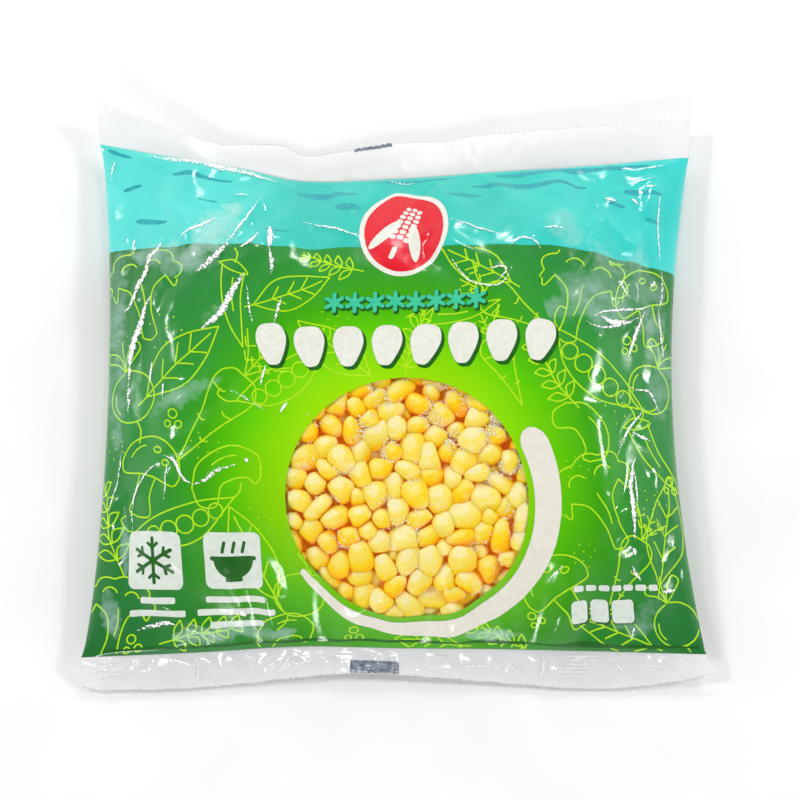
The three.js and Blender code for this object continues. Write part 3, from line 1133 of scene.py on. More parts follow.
@dataclass(frozen=True)
class CornLiquor(Finish):
    """Frozen juice and crushed kernels in the depth of the heap, amber where light is lost, with a faint
    painted glow.
    """

    name: str = "frozen_corn_liquor"
    dark: str = "#f29a0c"
    light: str = "#ffcc48"
    painted_glow: str = "#ff9a0a"
    pitch: float = 3.0

    def surface(self, node: AddNode, place: bpy.types.NodeSocket) -> bpy.types.Node:
        """Builds the core's rough frozen face.

        Args:
            node: Adds a node to the material.
            place: The object's own coordinates.

        Returns:
            The node whose output is the surface.
        """
        grain = node("TexNoise", {"Vector": place, "Scale": scale_for(self.pitch), "Detail": 4.0})
        tint = node("ValToRGB", [grain], ((0.35, self.dark), (0.7, self.light)))
        bump = node("Bump", {"Height": grain, "Strength": 0.6, "Distance": 0.6 * MM})
        return node(
            "BsdfPrincipled",
            {
                "Base Color": tint, "Normal": bump, "Roughness": 0.45, "Specular IOR Level": 0.2,
                "Subsurface Weight": 0.5, "Subsurface Radius": (1.0, 0.6, 0.1),
                "Subsurface Scale": 5.0 * MM,
                # Painted glow: a faint amber emission stands in for light that the kernels pass on.
                "Emission Color": self.painted_glow, "Emission Strength": 0.11,
            },
        )


@dataclass(frozen=True)
class FrostCrystal(Finish):
    """Hoar frost: small clear crystals with flat faces, which glint white."""

    name: str = "hoar_frost"
    shade: str = "#fff0b8"
    colour: str = "#fffbea"
    pitch: float = 1.1

    def surface(self, node: AddNode, place: bpy.types.NodeSocket) -> bpy.types.Node:
        """Builds the ice.

        Args:
            node: Adds a node to the material.
            place: The object's own coordinates.

        Returns:
            The node whose output is the surface.
        """
        grain = node("TexNoise", {"Vector": place, "Scale": scale_for(self.pitch)})
        tint = node("ValToRGB", [grain], ((0.3, self.shade), (0.6, self.colour)))
        ice = {"Roughness": 0.12, "IOR": 1.31, "Transmission Weight": 0.06}
        return node("BsdfPrincipled", {"Base Color": tint, **ice})


@dataclass(frozen=True)
class StudioCard(Finish):
    """Matt white card under the bag, with the faint tooth of its surface."""

    name: str = "matt_white_card"
    light: str = "#ffffff"
    dark: str = "#fafafa"
    pitch: float = 40.0

    def surface(self, node: AddNode, place: bpy.types.NodeSocket) -> bpy.types.Node:
        """Builds the card's face.

        Args:
            node: Adds a node to the material.
            place: The object's own coordinates.

        Returns:
            The node whose output is the surface.
        """
        grain = node("TexNoise", {"Vector": place, "Scale": scale_for(self.pitch)})
        tint = node("ValToRGB", [grain], ((0.3, self.dark), (0.7, self.light)))
        return node("BsdfPrincipled", {"Base Color": tint, "Roughness": 0.9})


def add_mesh(
    name: str, points: Array, faces: Faces, material: bpy.types.Material, normals: Array | None = None,
    film: Array | None = None,
) -> Piece:
    """Makes a mesh object from points in millimetres.

    Args:
        name: The piece's name.
        points: Points, one row each.
        faces: Faces as tuples of point numbers.
        material: Its material.
        normals: Normals to shade each point with, if not the mesh's own.
        film: Film coordinates of each point, in millimetres, for a print.

    Returns:
        The new object.
    """
    mesh = bpy.data.meshes.new(name)
    mesh.from_pydata((points * MM).tolist(), [], faces)
    mesh.polygons.foreach_set("use_smooth", np.ones(len(mesh.polygons), bool))
    if film is not None:
        corners = np.empty(len(mesh.loops), int)
        mesh.loops.foreach_get("vertex_index", corners)
        layer = mesh.uv_layers.new(name="film")
        layer.uv.foreach_set("vector", (film[corners] * MM).astype(np.float32).ravel())
    mesh.materials.append(material)
    mesh.update()
    if normals is not None:
        mesh.normals_split_custom_set_from_vertices(normals.tolist())
    piece = bpy.data.objects.new(name, mesh)
    bpy.context.scene.collection.objects.link(piece)
    return piece


def lattice_faces(columns: int, rows: int, start: int = 0, turned: bool = False) -> Faces:
    """Lists the faces of a lattice whose points run row by row within each column.

    Args:
        columns: How many columns it has.
        rows: How many points a column has.
        start: Number of its first point.
        turned: Whether the faces run the other way round.

    Returns:
        The faces as tuples of point numbers.
    """
    i, j = np.meshgrid(np.arange(columns - 1), np.arange(rows - 1), indexing="ij")
    a = (start + i * rows + j).ravel()
    quads = np.stack([a, a + rows, a + rows + 1, a + 1], 1)
    if turned:
        quads = quads[:, ::-1]
    return [tuple(quad) for quad in quads.tolist()]


def closed_sheet(upper: Array, lower: Array, turned: bool) -> tuple[Array, Faces]:
    """Closes two lattices into one thin solid.

    Args:
        upper: The first lattice, an array of columns, rows and x, y, z.
        lower: The second, as large.
        turned: Whether the first one's faces run the other way round.

    Returns:
        The points and the faces.
    """
    columns, rows = upper.shape[:2]
    half = columns * rows
    faces = lattice_faces(columns, rows, 0, turned) + lattice_faces(columns, rows, half, not turned)
    rim = [k * rows for k in range(columns)]
    rim += [(columns - 1) * rows + k for k in range(1, rows)]
    rim += [k * rows + rows - 1 for k in range(columns - 2, -1, -1)]
    rim += list(range(rows - 2, 0, -1))
    for a, b in zip(rim, rim[1:] + rim[:1]):
        faces.append((a, b, b + half, a + half) if turned else (b, a, a + half, b + half))
    return np.vstack([upper.reshape(-1, 3), lower.reshape(-1, 3)]), faces


def finish_piece(piece: Piece, slot: Slot, node: str | None = None) -> None:
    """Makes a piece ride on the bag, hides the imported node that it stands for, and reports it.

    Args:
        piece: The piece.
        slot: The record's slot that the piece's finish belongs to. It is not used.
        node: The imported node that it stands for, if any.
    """
    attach(piece, BODY)
    if node is not None:
        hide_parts(node)
    log.info("%s: %d faces", piece.name, len(piece.data.polygons))


def disc(u0: float, v0: float, radius: float) -> Shape:
    """Makes a round field."""
    return lambda u, v: radius - np.hypot(u - u0, v - v0)


def oval(u0: float, v0: float, wide: float, tall: float) -> Shape:
    """Makes an oval field from its half sizes."""
    return lambda u, v: (1 - np.hypot((u - u0) / wide, (v - v0) / tall)) * min(wide, tall)


def tablet(u0: float, v0: float, wide: float, tall: float, corner: float, turn: float = 0.0) -> Shape:
    """Makes a rectangle with round corners, from its half sizes, turned by an angle.

    Args:
        u0: Its middle across.
        v0: Its middle up.
        wide: Half its width.
        tall: Half its height.
        corner: Radius of its corners.
        turn: Its turn in radians.

    Returns:
        The outline, as a field that is above zero inside.
    """
    turned = seen_from(u0, v0, turn)

    def value(u: Array, v: Array) -> Array:
        """Measures how far inside the tablet places are."""
        x, y = (np.abs(a) - half + corner for a, half in zip(turned(u, v), (wide, tall)))
        out = np.hypot(np.maximum(x, 0), np.maximum(y, 0))
        return corner - out - np.minimum(np.maximum(x, y), 0)

    return value


def any_of(*shapes: Shape) -> Shape:
    """Joins fields into one."""
    return lambda u, v: np.maximum.reduce([shape(u, v) for shape in shapes])


def without(shape: Shape, hole: Shape) -> Shape:
    """Cuts one field out of another."""
    return lambda u, v: np.minimum(shape(u, v), -hole(u, v))


def leaf_oval(u0: float, v0: float, wide: float, tall: float, turn: float) -> Shape:
    """Makes a pointed oval, such as a leaf, from its half sizes, turned by an angle.

    Args:
        u0: Its middle across.
        v0: Its middle up.
        wide: Half its width.
        tall: Half its height.
        turn: Its turn in radians.

    Returns:
        The outline, as a field that is above zero inside.
    """
    turned = seen_from(u0, v0, turn)

    def value(u: Array, v: Array) -> Array:
        """Measures how far inside the oval places are."""
        x, y = (a / half for a, half in zip(turned(u, v), (wide, tall)))
        return (1 - (np.abs(x) ** 1.6 + np.abs(y) ** 1.9) ** 0.55) * min(wide, tall)

    return value


def kernel_mark(u0: float, v0: float, wide: float, tall: float, lean: float) -> Shape:
    """Makes the outline of one kernel: a broad round crown on a narrow foot.

    Args:
        u0: Its middle across.
        v0: Its middle up.
        wide: Half its width.
        tall: Half its height.
        lean: How far it leans, in radians.

    Returns:
        The outline, as a field that is above zero inside.
    """
    turned = seen_from(u0, v0, lean)

    def value(u: Array, v: Array) -> Array:
        """Measures how far inside the kernel places are."""
        x, y = (a / half for a, half in zip(turned(u, v), (wide, tall)))
        narrow = 1 - 0.38 * smooth_step(0.35, -1.0, y)
        round_box = (np.abs(x / narrow) ** 3.2 + np.abs(y) ** 2.6) ** (1 / 2.9)
        return (1 - round_box) * min(wide, tall)

    return value


def frost_star(u0: float, v0: float, radius: float, arm: float, barbs: bool) -> Shape:
    """Makes a six-armed frost star.

    Args:
        u0: Its middle across.
        v0: Its middle up.
        radius: Length of an arm.
        arm: Half the width of an arm.
        barbs: Whether the arms have side arms.

    Returns:
        The outline, as a field that is above zero inside.
    """
    arms: list[Shape] = []
    for k in range(6):
        angle = math.pi * (k / 3 + 1 / 6)
        half = radius / 2
        arms.append(tablet(u0 + half * math.cos(angle), v0 + half * math.sin(angle), half, arm, arm, angle))
        if barbs:
            for side in (-1, 1):
                turn = angle + side * 0.9
                root = 0.55 * radius
                tip = 0.17 * radius
                arms.append(
                    tablet(
                        u0 + root * math.cos(angle) + tip * math.cos(turn),
                        v0 + root * math.sin(angle) + tip * math.sin(turn),
                        tip, arm * 0.85, arm * 0.85, turn,
                    )
                )
    return any_of(*arms)


def crescent(
    centre: Pair, inner: float, broad: float, start: float, sweep: float, blunt: float, tip: float
) -> Shape:
    """Makes a pale swoosh that follows the window's rim and thins out.

    Args:
        centre: The window's centre.
        inner: Radius of its inner edge.
        broad: Width at its broad end.
        start: Direction of its broad end, in radians.
        sweep: How far it goes round, clockwise.
        blunt: Length over which the broad end is rounded.
        tip: Width of the thin end, which is rounded too.

    Returns:
        The field.
    """

    def value(u: Array, v: Array) -> Array:
        """Measures how far inside the swoosh places are.

        Args:
            u: Places across.
            v: Places up.

        Returns:
            The field's values.
        """
        away = np.hypot(u - centre[0], v - centre[1])
        round_by = (start - np.arctan2(v - centre[1], u - centre[0]) + 0.3) % (2 * math.pi) - 0.3
        share = round_by / sweep
        width = tip + (broad - tip) * np.clip(1 - share, 0, 1) ** 0.66
        bluntness = np.clip(round_by * inner / blunt, -0.2, 1)
        left = np.clip((1 - share) * sweep * inner / (tip / 2), 0, 1)
        round_ends = np.clip(1 - (1 - bluntness) ** 2, 0, 1) * np.clip(1 - (1 - left) ** 2, 0, 1)
        half = width / 2 * np.sqrt(round_ends)
        middle = inner + width / 2 - 1.1 * np.exp(-round_by * inner / 9)
        field_value = half - np.abs(away - middle)
        return np.where((share > 0) & (share < 1), field_value, -1.0)

    return value


@dataclass(frozen=True)
class Patch:
    """One printed field, cut to its outline and laid on the film.

    Attributes:
        name: The piece's name.
        shape: Its outline.
        box: Low and high film coordinates around it.
        ink: Its ink.
        layer: 1 for the first ink on the film, 2 for an ink over that, and so on.
        step: How fine it is cut.
    """

    name: str
    shape: Shape
    box: tuple[float, float, float, float]
    ink: PrintInk
    layer: int = 1
    step: float = 0.45

    def build(self, skin: FilmSkin) -> Piece:
        """Cuts the field out of a fine lattice over the film.

        Args:
            skin: The film that it lies on.

        Returns:
            The piece.
        """
        low_u, low_v, high_u, high_v = self.box
        us = np.linspace(low_u, high_u, max(4, round((high_u - low_u) / self.step)))
        vs = np.linspace(low_v, high_v, max(4, round((high_v - low_v) / self.step)))
        u, v = np.meshgrid(us, vs, indexing="ij")
        places, faces = clip_lattice(us, vs, self.shape(u, v))
        points, normals = skin.sample(places[:, 0], places[:, 1])
        points = points + normals * INK_LIFT * self.layer
        piece = add_mesh(self.name, points, faces, self.ink.material(), normals)
        finish_piece(piece, Slot.PRINTED)
        return piece


# Height of one ink over the film below it. Real ink is thinner: this keeps the layers apart.
INK_LIFT = 0.05


def bow(x0: float, y0: float, wide: float, tall: float, start: float, end: float, count: int = 22) -> Array:
    """Draws part of an oval, from one angle in degrees to another."""
    angle = np.radians(np.linspace(start, end, count))
    return np.stack([x0 + wide * np.cos(angle), y0 + tall * np.sin(angle)], 1)


def bent(*points: Pair) -> Array:
    """Draws a smooth line through a few points.

    Args:
        points: The points, in order.

    Returns:
        The line's points, eight for each point given.
    """
    knots = np.array(points, float)
    places = np.arange(len(points), dtype=float)
    steps = np.linspace(0, len(points) - 1, 8 * len(points))
    both = [through(tuple(zip(places, knots[:, axis])), steps) for axis in range(2)]
    return np.stack(both, 1)


def mirrored(*points: Pair) -> list[Array]:
    """Draws a smooth line and its mirror image, the image first."""
    return [bent(*((side * x, y) for x, y in points)) for side in (-1, 1)]


class Drawing(Enum):
    """The vegetable drawings of the print, each about one unit tall."""

    LEAF = "leaf"
    SPRIG = "sprig"
    PEA_POD = "pea_pod"
    MUSHROOM = "mushroom"
    CARROT = "carrot"
    SPROUT = "sprout"
    RADISH = "radish"
    BEAN = "bean"
    CHILLI = "chilli"
    BUBBLES = "bubbles"
    SEEDS = "seeds"

    def lines(self) -> list[Array]:
        """Gives the drawing's lines."""
        return getattr(self, "_" + self.value)()

    def _leaf(self) -> list[Array]:
        """Draws a leaf with its veins.

        Returns:
            Its lines, about one unit tall.
        """
        edge = mirrored((0, -0.5), (0.2, -0.15), (0.15, 0.2), (0, 0.5))
        veins = [mirrored((0, y), (0.07, y + 0.08), (0.12, y + 0.13)) for y in (-0.25, -0.05, 0.12)]
        return [*edge, bent((0, -0.62), (0.01, 0), (0, 0.4)), *sum(veins, [])]

    def _sprig(self) -> list[Array]:
        """Draws a sprig with five pairs of leaflets.

        Returns:
            Its lines, about one unit tall.
        """
        lines = [bent((0.05, -0.5), (0, -0.1), (0.04, 0.3), (0, 0.5))]
        for k in range(5):
            y = -0.32 + 0.17 * k
            for s in (-1, 1):
                x = s * (0.2 - 0.022 * k)
                lines.append(bent((0.02, y), (x * 0.5, y + 0.02), (x, y + 0.12)))
                lines.append(bent((0.02, y), (x * 0.35, y + 0.12), (x, y + 0.12)))
        return lines

    def _pea_pod(self) -> list[Array]:
        """Draws an open pod with five peas.

        Returns:
            Its lines, about one unit tall.
        """
        lines = [
            bent((-0.5, 0.05), (-0.25, -0.16), (0.1, -0.2), (0.5, 0.02)),
            bent((-0.5, 0.05), (-0.2, 0.1), (0.15, 0.1), (0.5, 0.02)),
            bent((-0.5, 0.05), (-0.57, 0.1), (-0.6, 0.2), (-0.54, 0.22)),
            bent((0.5, 0.02), (0.56, 0.05), (0.6, 0.12)),
        ]
        for k in range(5):
            x = -0.3 + 0.15 * k
            size = 0.062 + 0.014 * math.sin(math.pi * (k + 0.5) / 5)
            lines.append(bow(x, -0.035 - 0.012 * k * (4 - k) / 4, size, size, 0, 360))
        return lines

    def _mushroom(self) -> list[Array]:
        """Draws a mushroom.

        Returns:
            Its lines, about one unit tall.
        """
        return [
            bow(0, 0.08, 0.42, 0.4, 0, 180), *mirrored((0.42, 0.08), (0.36, -0.02), (0.1, 0.02), (0, 0.02)),
            *mirrored((0.12, 0.02), (0.1, -0.2), (0.16, -0.42), (0, -0.47)),
            bow(-0.05, 0.1, 0.26, 0.27, 110, 165), bow(0.2, 0.22, 0.05, 0.035, 0, 360, 14),
            bow(0.05, 0.34, 0.06, 0.035, 0, 360, 14),
        ]

    def _carrot(self) -> list[Array]:
        """Draws a carrot with its greens.

        Returns:
            Its lines, about one unit tall.
        """
        lines = mirrored((0, -0.5), (0.08, -0.15), (0.16, 0.12), (0.1, 0.24), (0, 0.25))
        for y, s in ((0.08, -1), (-0.04, 1), (-0.16, -1), (-0.27, 1)):
            x = s * (0.13 + 0.2 * y)
            lines.append(bent((x, y), (x * 0.5, y - 0.015), (x * 0.25, y)))
        for s in (-1, 0, 1):
            lines.append(bent((0, 0.25), (s * 0.09, 0.4), (s * 0.2, 0.52)))
            for y in (0.34, 0.42):
                x = s * 0.2 * (y - 0.25) / 0.27
                lines.append(bent((x, y), (x - 0.05, y + 0.05)))
                lines.append(bent((x, y), (x + 0.05, y + 0.05)))
        return lines

    def _sprout(self) -> list[Array]:
        """Draws a floret with a scalloped head.

        Returns:
            Its lines, about one unit tall.
        """
        angle = np.radians(np.linspace(-22, 202, 64))
        scallop = 1 + 0.16 * np.abs(np.sin(4.3 * (angle + 0.38)))
        lines = [np.stack([0.42 * scallop * np.cos(angle), 0.18 + 0.28 * scallop * np.sin(angle)], 1)]
        lines += [
            *mirrored((0.42, 0.06), (0.38, -0.02), (0.3, 0.12)),
            *mirrored((0.3, 0.12), (0.14, 0), (0.08, -0.25), (0.1, -0.48)),
            bent((-0.1, -0.48), (0, -0.52), (0.1, -0.48)), bent((0, 0.1), (0.02, -0.1), (0, -0.24)),
            bow(-0.14, 0.26, 0.1, 0.09, 20, 170, 12), bow(0.16, 0.24, 0.1, 0.09, 10, 160, 12)
        ]
        return lines

    def _radish(self) -> list[Array]:
        """Draws a radish with two leaves.

        Returns:
            Its lines, about one unit tall.
        """
        return [
            bow(0, -0.05, 0.3, 0.27, 96, 444), bent((0, -0.32), (0.02, -0.42), (-0.03, -0.55)),
            bow(-0.02, -0.06, 0.22, 0.2, 150, 215, 12),
            bent((0, 0.22), (-0.1, 0.34), (-0.24, 0.42), (-0.2, 0.5), (-0.06, 0.42), (0, 0.22)),
            bent((0, 0.22), (0.05, 0.36), (0.2, 0.5), (0.26, 0.42), (0.12, 0.3), (0, 0.22)),
            bent((0, 0.22), (0, 0.4), (0.02, 0.56)),
        ]

    def _bean(self) -> list[Array]:
        """Draws a bean.

        Returns:
            Its lines, about one unit tall.
        """
        return [
            bent((-0.4, 0.1), (-0.2, 0.3), (0.2, 0.3), (0.42, 0.06), (0.34, -0.16)),
            bent((-0.4, 0.1), (-0.42, -0.1), (-0.26, -0.2), (-0.1, -0.04), (0.08, -0.04)),
            bent((0.08, -0.04), (0.2, -0.1), (0.24, -0.2), (0.34, -0.16)),
            bow(0.02, 0.0, 0.3, 0.22, 50, 110, 12),
        ]

    def _chilli(self) -> list[Array]:
        """Draws a chilli.

        Returns:
            Its lines, about one unit tall.
        """
        return [
            bent((-0.1, 0.3), (0.02, 0.0), (0.2, -0.25), (0.42, -0.42)),
            bent((0.14, 0.3), (0.2, 0.06), (0.3, -0.16), (0.42, -0.42)),
            bent((-0.14, 0.3), (0, 0.37), (0.18, 0.3), (0.02, 0.26), (-0.14, 0.3)),
            bent((0.02, 0.35), (0.0, 0.45), (-0.08, 0.52)), bent((0.06, 0.2), (0.12, 0.02), (0.2, -0.12)),
        ]

    def _bubbles(self) -> list[Array]:
        """Draws three rings.

        Returns:
            Its lines, about one unit tall.
        """
        return [
            bow(0, 0.25, 0.2, 0.2, 0, 360, 16), bow(-0.26, -0.18, 0.15, 0.15, 0, 360, 14),
            bow(0.24, -0.2, 0.17, 0.17, 0, 360, 14),
        ]

    def _seeds(self) -> list[Array]:
        """Draws a scatter of short dashes.

        Returns:
            Its lines, about one unit tall.
        """
        spots = ((-0.4, 0.2), (-0.1, 0.34), (0.24, 0.22), (-0.24, -0.06), (0.06, 0.02), (0.38, -0.1),
                 (-0.36, -0.34), (-0.02, -0.3), (0.26, -0.38))
        return [np.array([(x, y), (x + 0.035, y + 0.02)]) for x, y in spots]


@dataclass(frozen=True)
class Placed:
    """A drawing's place on the print.

    Attributes:
        drawing: What is drawn.
        u: Its middle across.
        v: Its middle up.
        size: Its height in millimetres.
        turn: Its turn in degrees.
    """

    drawing: Drawing
    u: float
    v: float
    size: float
    turn: float

    def lines(self) -> list[Array]:
        """Gives the drawing's lines in film coordinates.

        Returns:
            The lines.
        """
        angle = math.radians(self.turn)
        c, s = math.cos(angle) * self.size, math.sin(angle) * self.size
        turned = np.array([[c, s], [-s, c]])
        return [line @ turned + (self.u, self.v) for line in self.drawing.lines()]


@dataclass(frozen=True)
class LineArt:
    """The thin yellow-green drawings all over the green field.

    Attributes:
        placed: The drawings.
        ink: Their ink.
        width: Width of a line.
        step: Length of one piece of a line.
    """

    placed: tuple[Placed, ...]
    ink: PrintInk
    width: float = 0.56
    step: float = 0.9

    def runs(self, line: Array, allowed: Shape) -> list[Array]:
        """Cuts a line into the runs that lie where it may be printed.

        Args:
            line: The line.
            allowed: Where it may be printed.

        Returns:
            The runs.
        """
        even = walk(line, self.step, 2, 1)
        keep = allowed(even[:, 0], even[:, 1]) > 0
        edges = np.flatnonzero(np.diff(np.concatenate([[0], keep.astype(int), [0]])))
        return [even[a:b] for a, b in zip(edges[::2], edges[1::2]) if b - a > 1]

    def build(self, skin: FilmSkin, allowed: Shape) -> Piece:
        """Lays all the lines on the film as one piece of ribbons.

        Args:
            skin: The film.
            allowed: Where lines may be printed.

        Returns:
            The piece.
        """
        places: list[Array] = []
        faces: Faces = []
        count = 0
        for placed in self.placed:
            for line in placed.lines():
                for run in self.runs(line, allowed):
                    side = sideways(run) * self.width / 2
                    places += [run + side, run - side]
                    for k in range(len(run) - 1):
                        left, right = count + k, count + len(run) + k
                        faces.append((right, right + 1, left + 1, left))
                    count += 2 * len(run)
        film = np.vstack(places)
        points, normals = skin.sample(film[:, 0], film[:, 1])
        piece = add_mesh("vegetable_line_art", points + normals * INK_LIFT, faces, self.ink.material(), normals)
        finish_piece(piece, Slot.PRINTED)
        return piece


@dataclass(frozen=True)
class FilmWearAndSheen:
    """Everything white on one sheet of film, as one piece: whitening from handling, painted glints and painted
    sheen.

    Attributes:
        name: The piece's name.
        marks: Its lines and patches.
        finish: The material of the worn film and its painted glints and sheen.
        layer: How many ink layers it lies over.
        turned: Whether up on the sheet is down on the bag, as on the bottom fin.
        step: Size of its faces.
        seed: Seed of its wandering edges.
    """

    name: str
    marks: tuple[WhiteFold, ...]
    finish: WearAndSheenPolyethylene
    layer: int = 6
    turned: bool = False
    step: float = 0.6
    seed: float = 8.3

    def strip(self, mark: WhiteFold) -> Arrays:
        """Forms one mark as a lattice of film coordinates, with the share of whitening and painted light at
        each point.

        Args:
            mark: The line or patch.

        Returns:
            The film coordinates and the shares of whitening and painted light.
        """
        run = walk(mark.crease().rounded_path(), self.step, 6)
        side = sideways(run)
        taper = np.sin(np.pi * np.linspace(0.02, 0.98, len(run))) ** 0.6
        ragged = noise_over(run[:, 0], run[:, 1], 2.4, self.seed)
        run = run + side * 0.3 * ragged[:, None]
        half = mark.width / 2 * taper * (1 + 0.5 * noise_over(run[:, 1], run[:, 0], 1.7, self.seed))
        columns = max(5, 2 * round(mark.width / 1.6) + 1)
        shares = np.linspace(1, -1, columns)
        film = run[None] + side[None] * (shares[:, None, None] * half[None, :, None])
        wear = mark.strength * (1 - shares[:, None] ** 2) ** 0.7 * (0.45 + 0.55 * taper[None])
        return film, wear

    def build(self, place: Place) -> Piece:
        """Lays the marks on a sheet.

        Args:
            place: Gives the sheet's points and normals at film coordinates.

        Returns:
            The piece.
        """
        films: list[Array] = []
        wear_and_sheen_shares: list[Array] = []
        faces: Faces = []
        count = 0
        for mark in self.marks:
            film, wear = self.strip(mark)
            faces += lattice_faces(film.shape[0], film.shape[1], count, self.turned)
            films.append(film.reshape(-1, 2))
            wear_and_sheen_shares.append(wear.ravel())
            count += wear.size
        film = np.vstack(films)
        points, normals = place(film[:, 0], film[:, 1])
        points = points + normals * INK_LIFT * self.layer
        piece = add_mesh(self.name, points, faces, self.finish.material(), normals)
        layer = piece.data.attributes.new("wear", "FLOAT", "POINT")
        layer.data.foreach_set("value", np.concatenate(wear_and_sheen_shares).astype(np.float32))
        finish_piece(piece, Slot.CLEAR)
        return piece


@dataclass(frozen=True)
class PrintedTube:
    """The printed film round the corn, front and back, with the hole for the window.

    Attributes:
        window: Outline of the clear window.
        border_line: Film height of the turquoise band's lower edge, from side to side.
        finish: The film's material.
    """

    window: Shape
    finish: PrintedPolyethylene = PrintedPolyethylene()
    back_step: float = 3.0
    border_line: Path = (
        (-107, 143.9), (-70, 146.3), (-34, 149.3), (20, 147.7), (60, 146.0), (91, 140.5), (108, 138.9)
    )

    def print_places(self, u: Array, v: Array) -> Array:
        """Turns film coordinates into those of the print, which sits a little askew."""
        return np.stack([u, v + self.finish.border - through(self.border_line, u)], 1)

    def build(self, skin: FilmSkin, clear: bpy.types.Material) -> list[Piece]:
        """Builds the front, the clear window in it and the back.

        Args:
            skin: The film's upper face.
            clear: The window's material.

        Returns:
            The three pieces.
        """
        printed = self.finish.material()
        u, v = np.meshgrid(skin.us, skin.vs, indexing="ij")
        glass = self.window(u, v)
        places, faces = clip_lattice(skin.us, skin.vs, -glass)
        points, normals = skin.sample(places[:, 0], places[:, 1])
        film = self.print_places(places[:, 0], places[:, 1])
        front = add_mesh("printed_film_front", points, faces, printed, normals, film)
        places, faces = clip_lattice(skin.us, skin.vs, glass)
        points, normals = skin.sample(places[:, 0], places[:, 1])
        window = add_mesh("window_film", points, faces, clear, normals)
        return [front, window, self.back(skin, printed)]

    def back(self, skin: FilmSkin, printed: bpy.types.Material) -> Piece:
        """Builds the back of the tube, with the folds that join it to the front.

        Args:
            skin: The film's upper face.
            printed: The film's material.

        Returns:
            The piece.
        """
        form = skin.form
        count = round(form.film_width / self.back_step)
        us = np.linspace(-form.half_width, form.half_width, count + 1)
        lower = form.lay(us, skin.vs, 1)
        edges = []
        for column, out in ((0, -1), (-1, 1)):
            fold = (skin.points[column] + lower[column]) / 2
            fold[:, 0] += out * form.film_stack / 2
            edges.append((skin.points[column], fold))
        strip = [edges[0][0], edges[0][1], *lower, edges[1][1], edges[1][0]]
        points = np.array(strip)
        across = np.concatenate([[us[0]] * 2, us, [us[-1]] * 2])
        u, v = np.meshgrid(across, skin.vs, indexing="ij")
        film = self.print_places(u.ravel(), v.ravel())
        faces = lattice_faces(len(strip), len(skin.vs), turned=True)
        return add_mesh("printed_film_back", points.reshape(-1, 3), faces, printed, film=film)


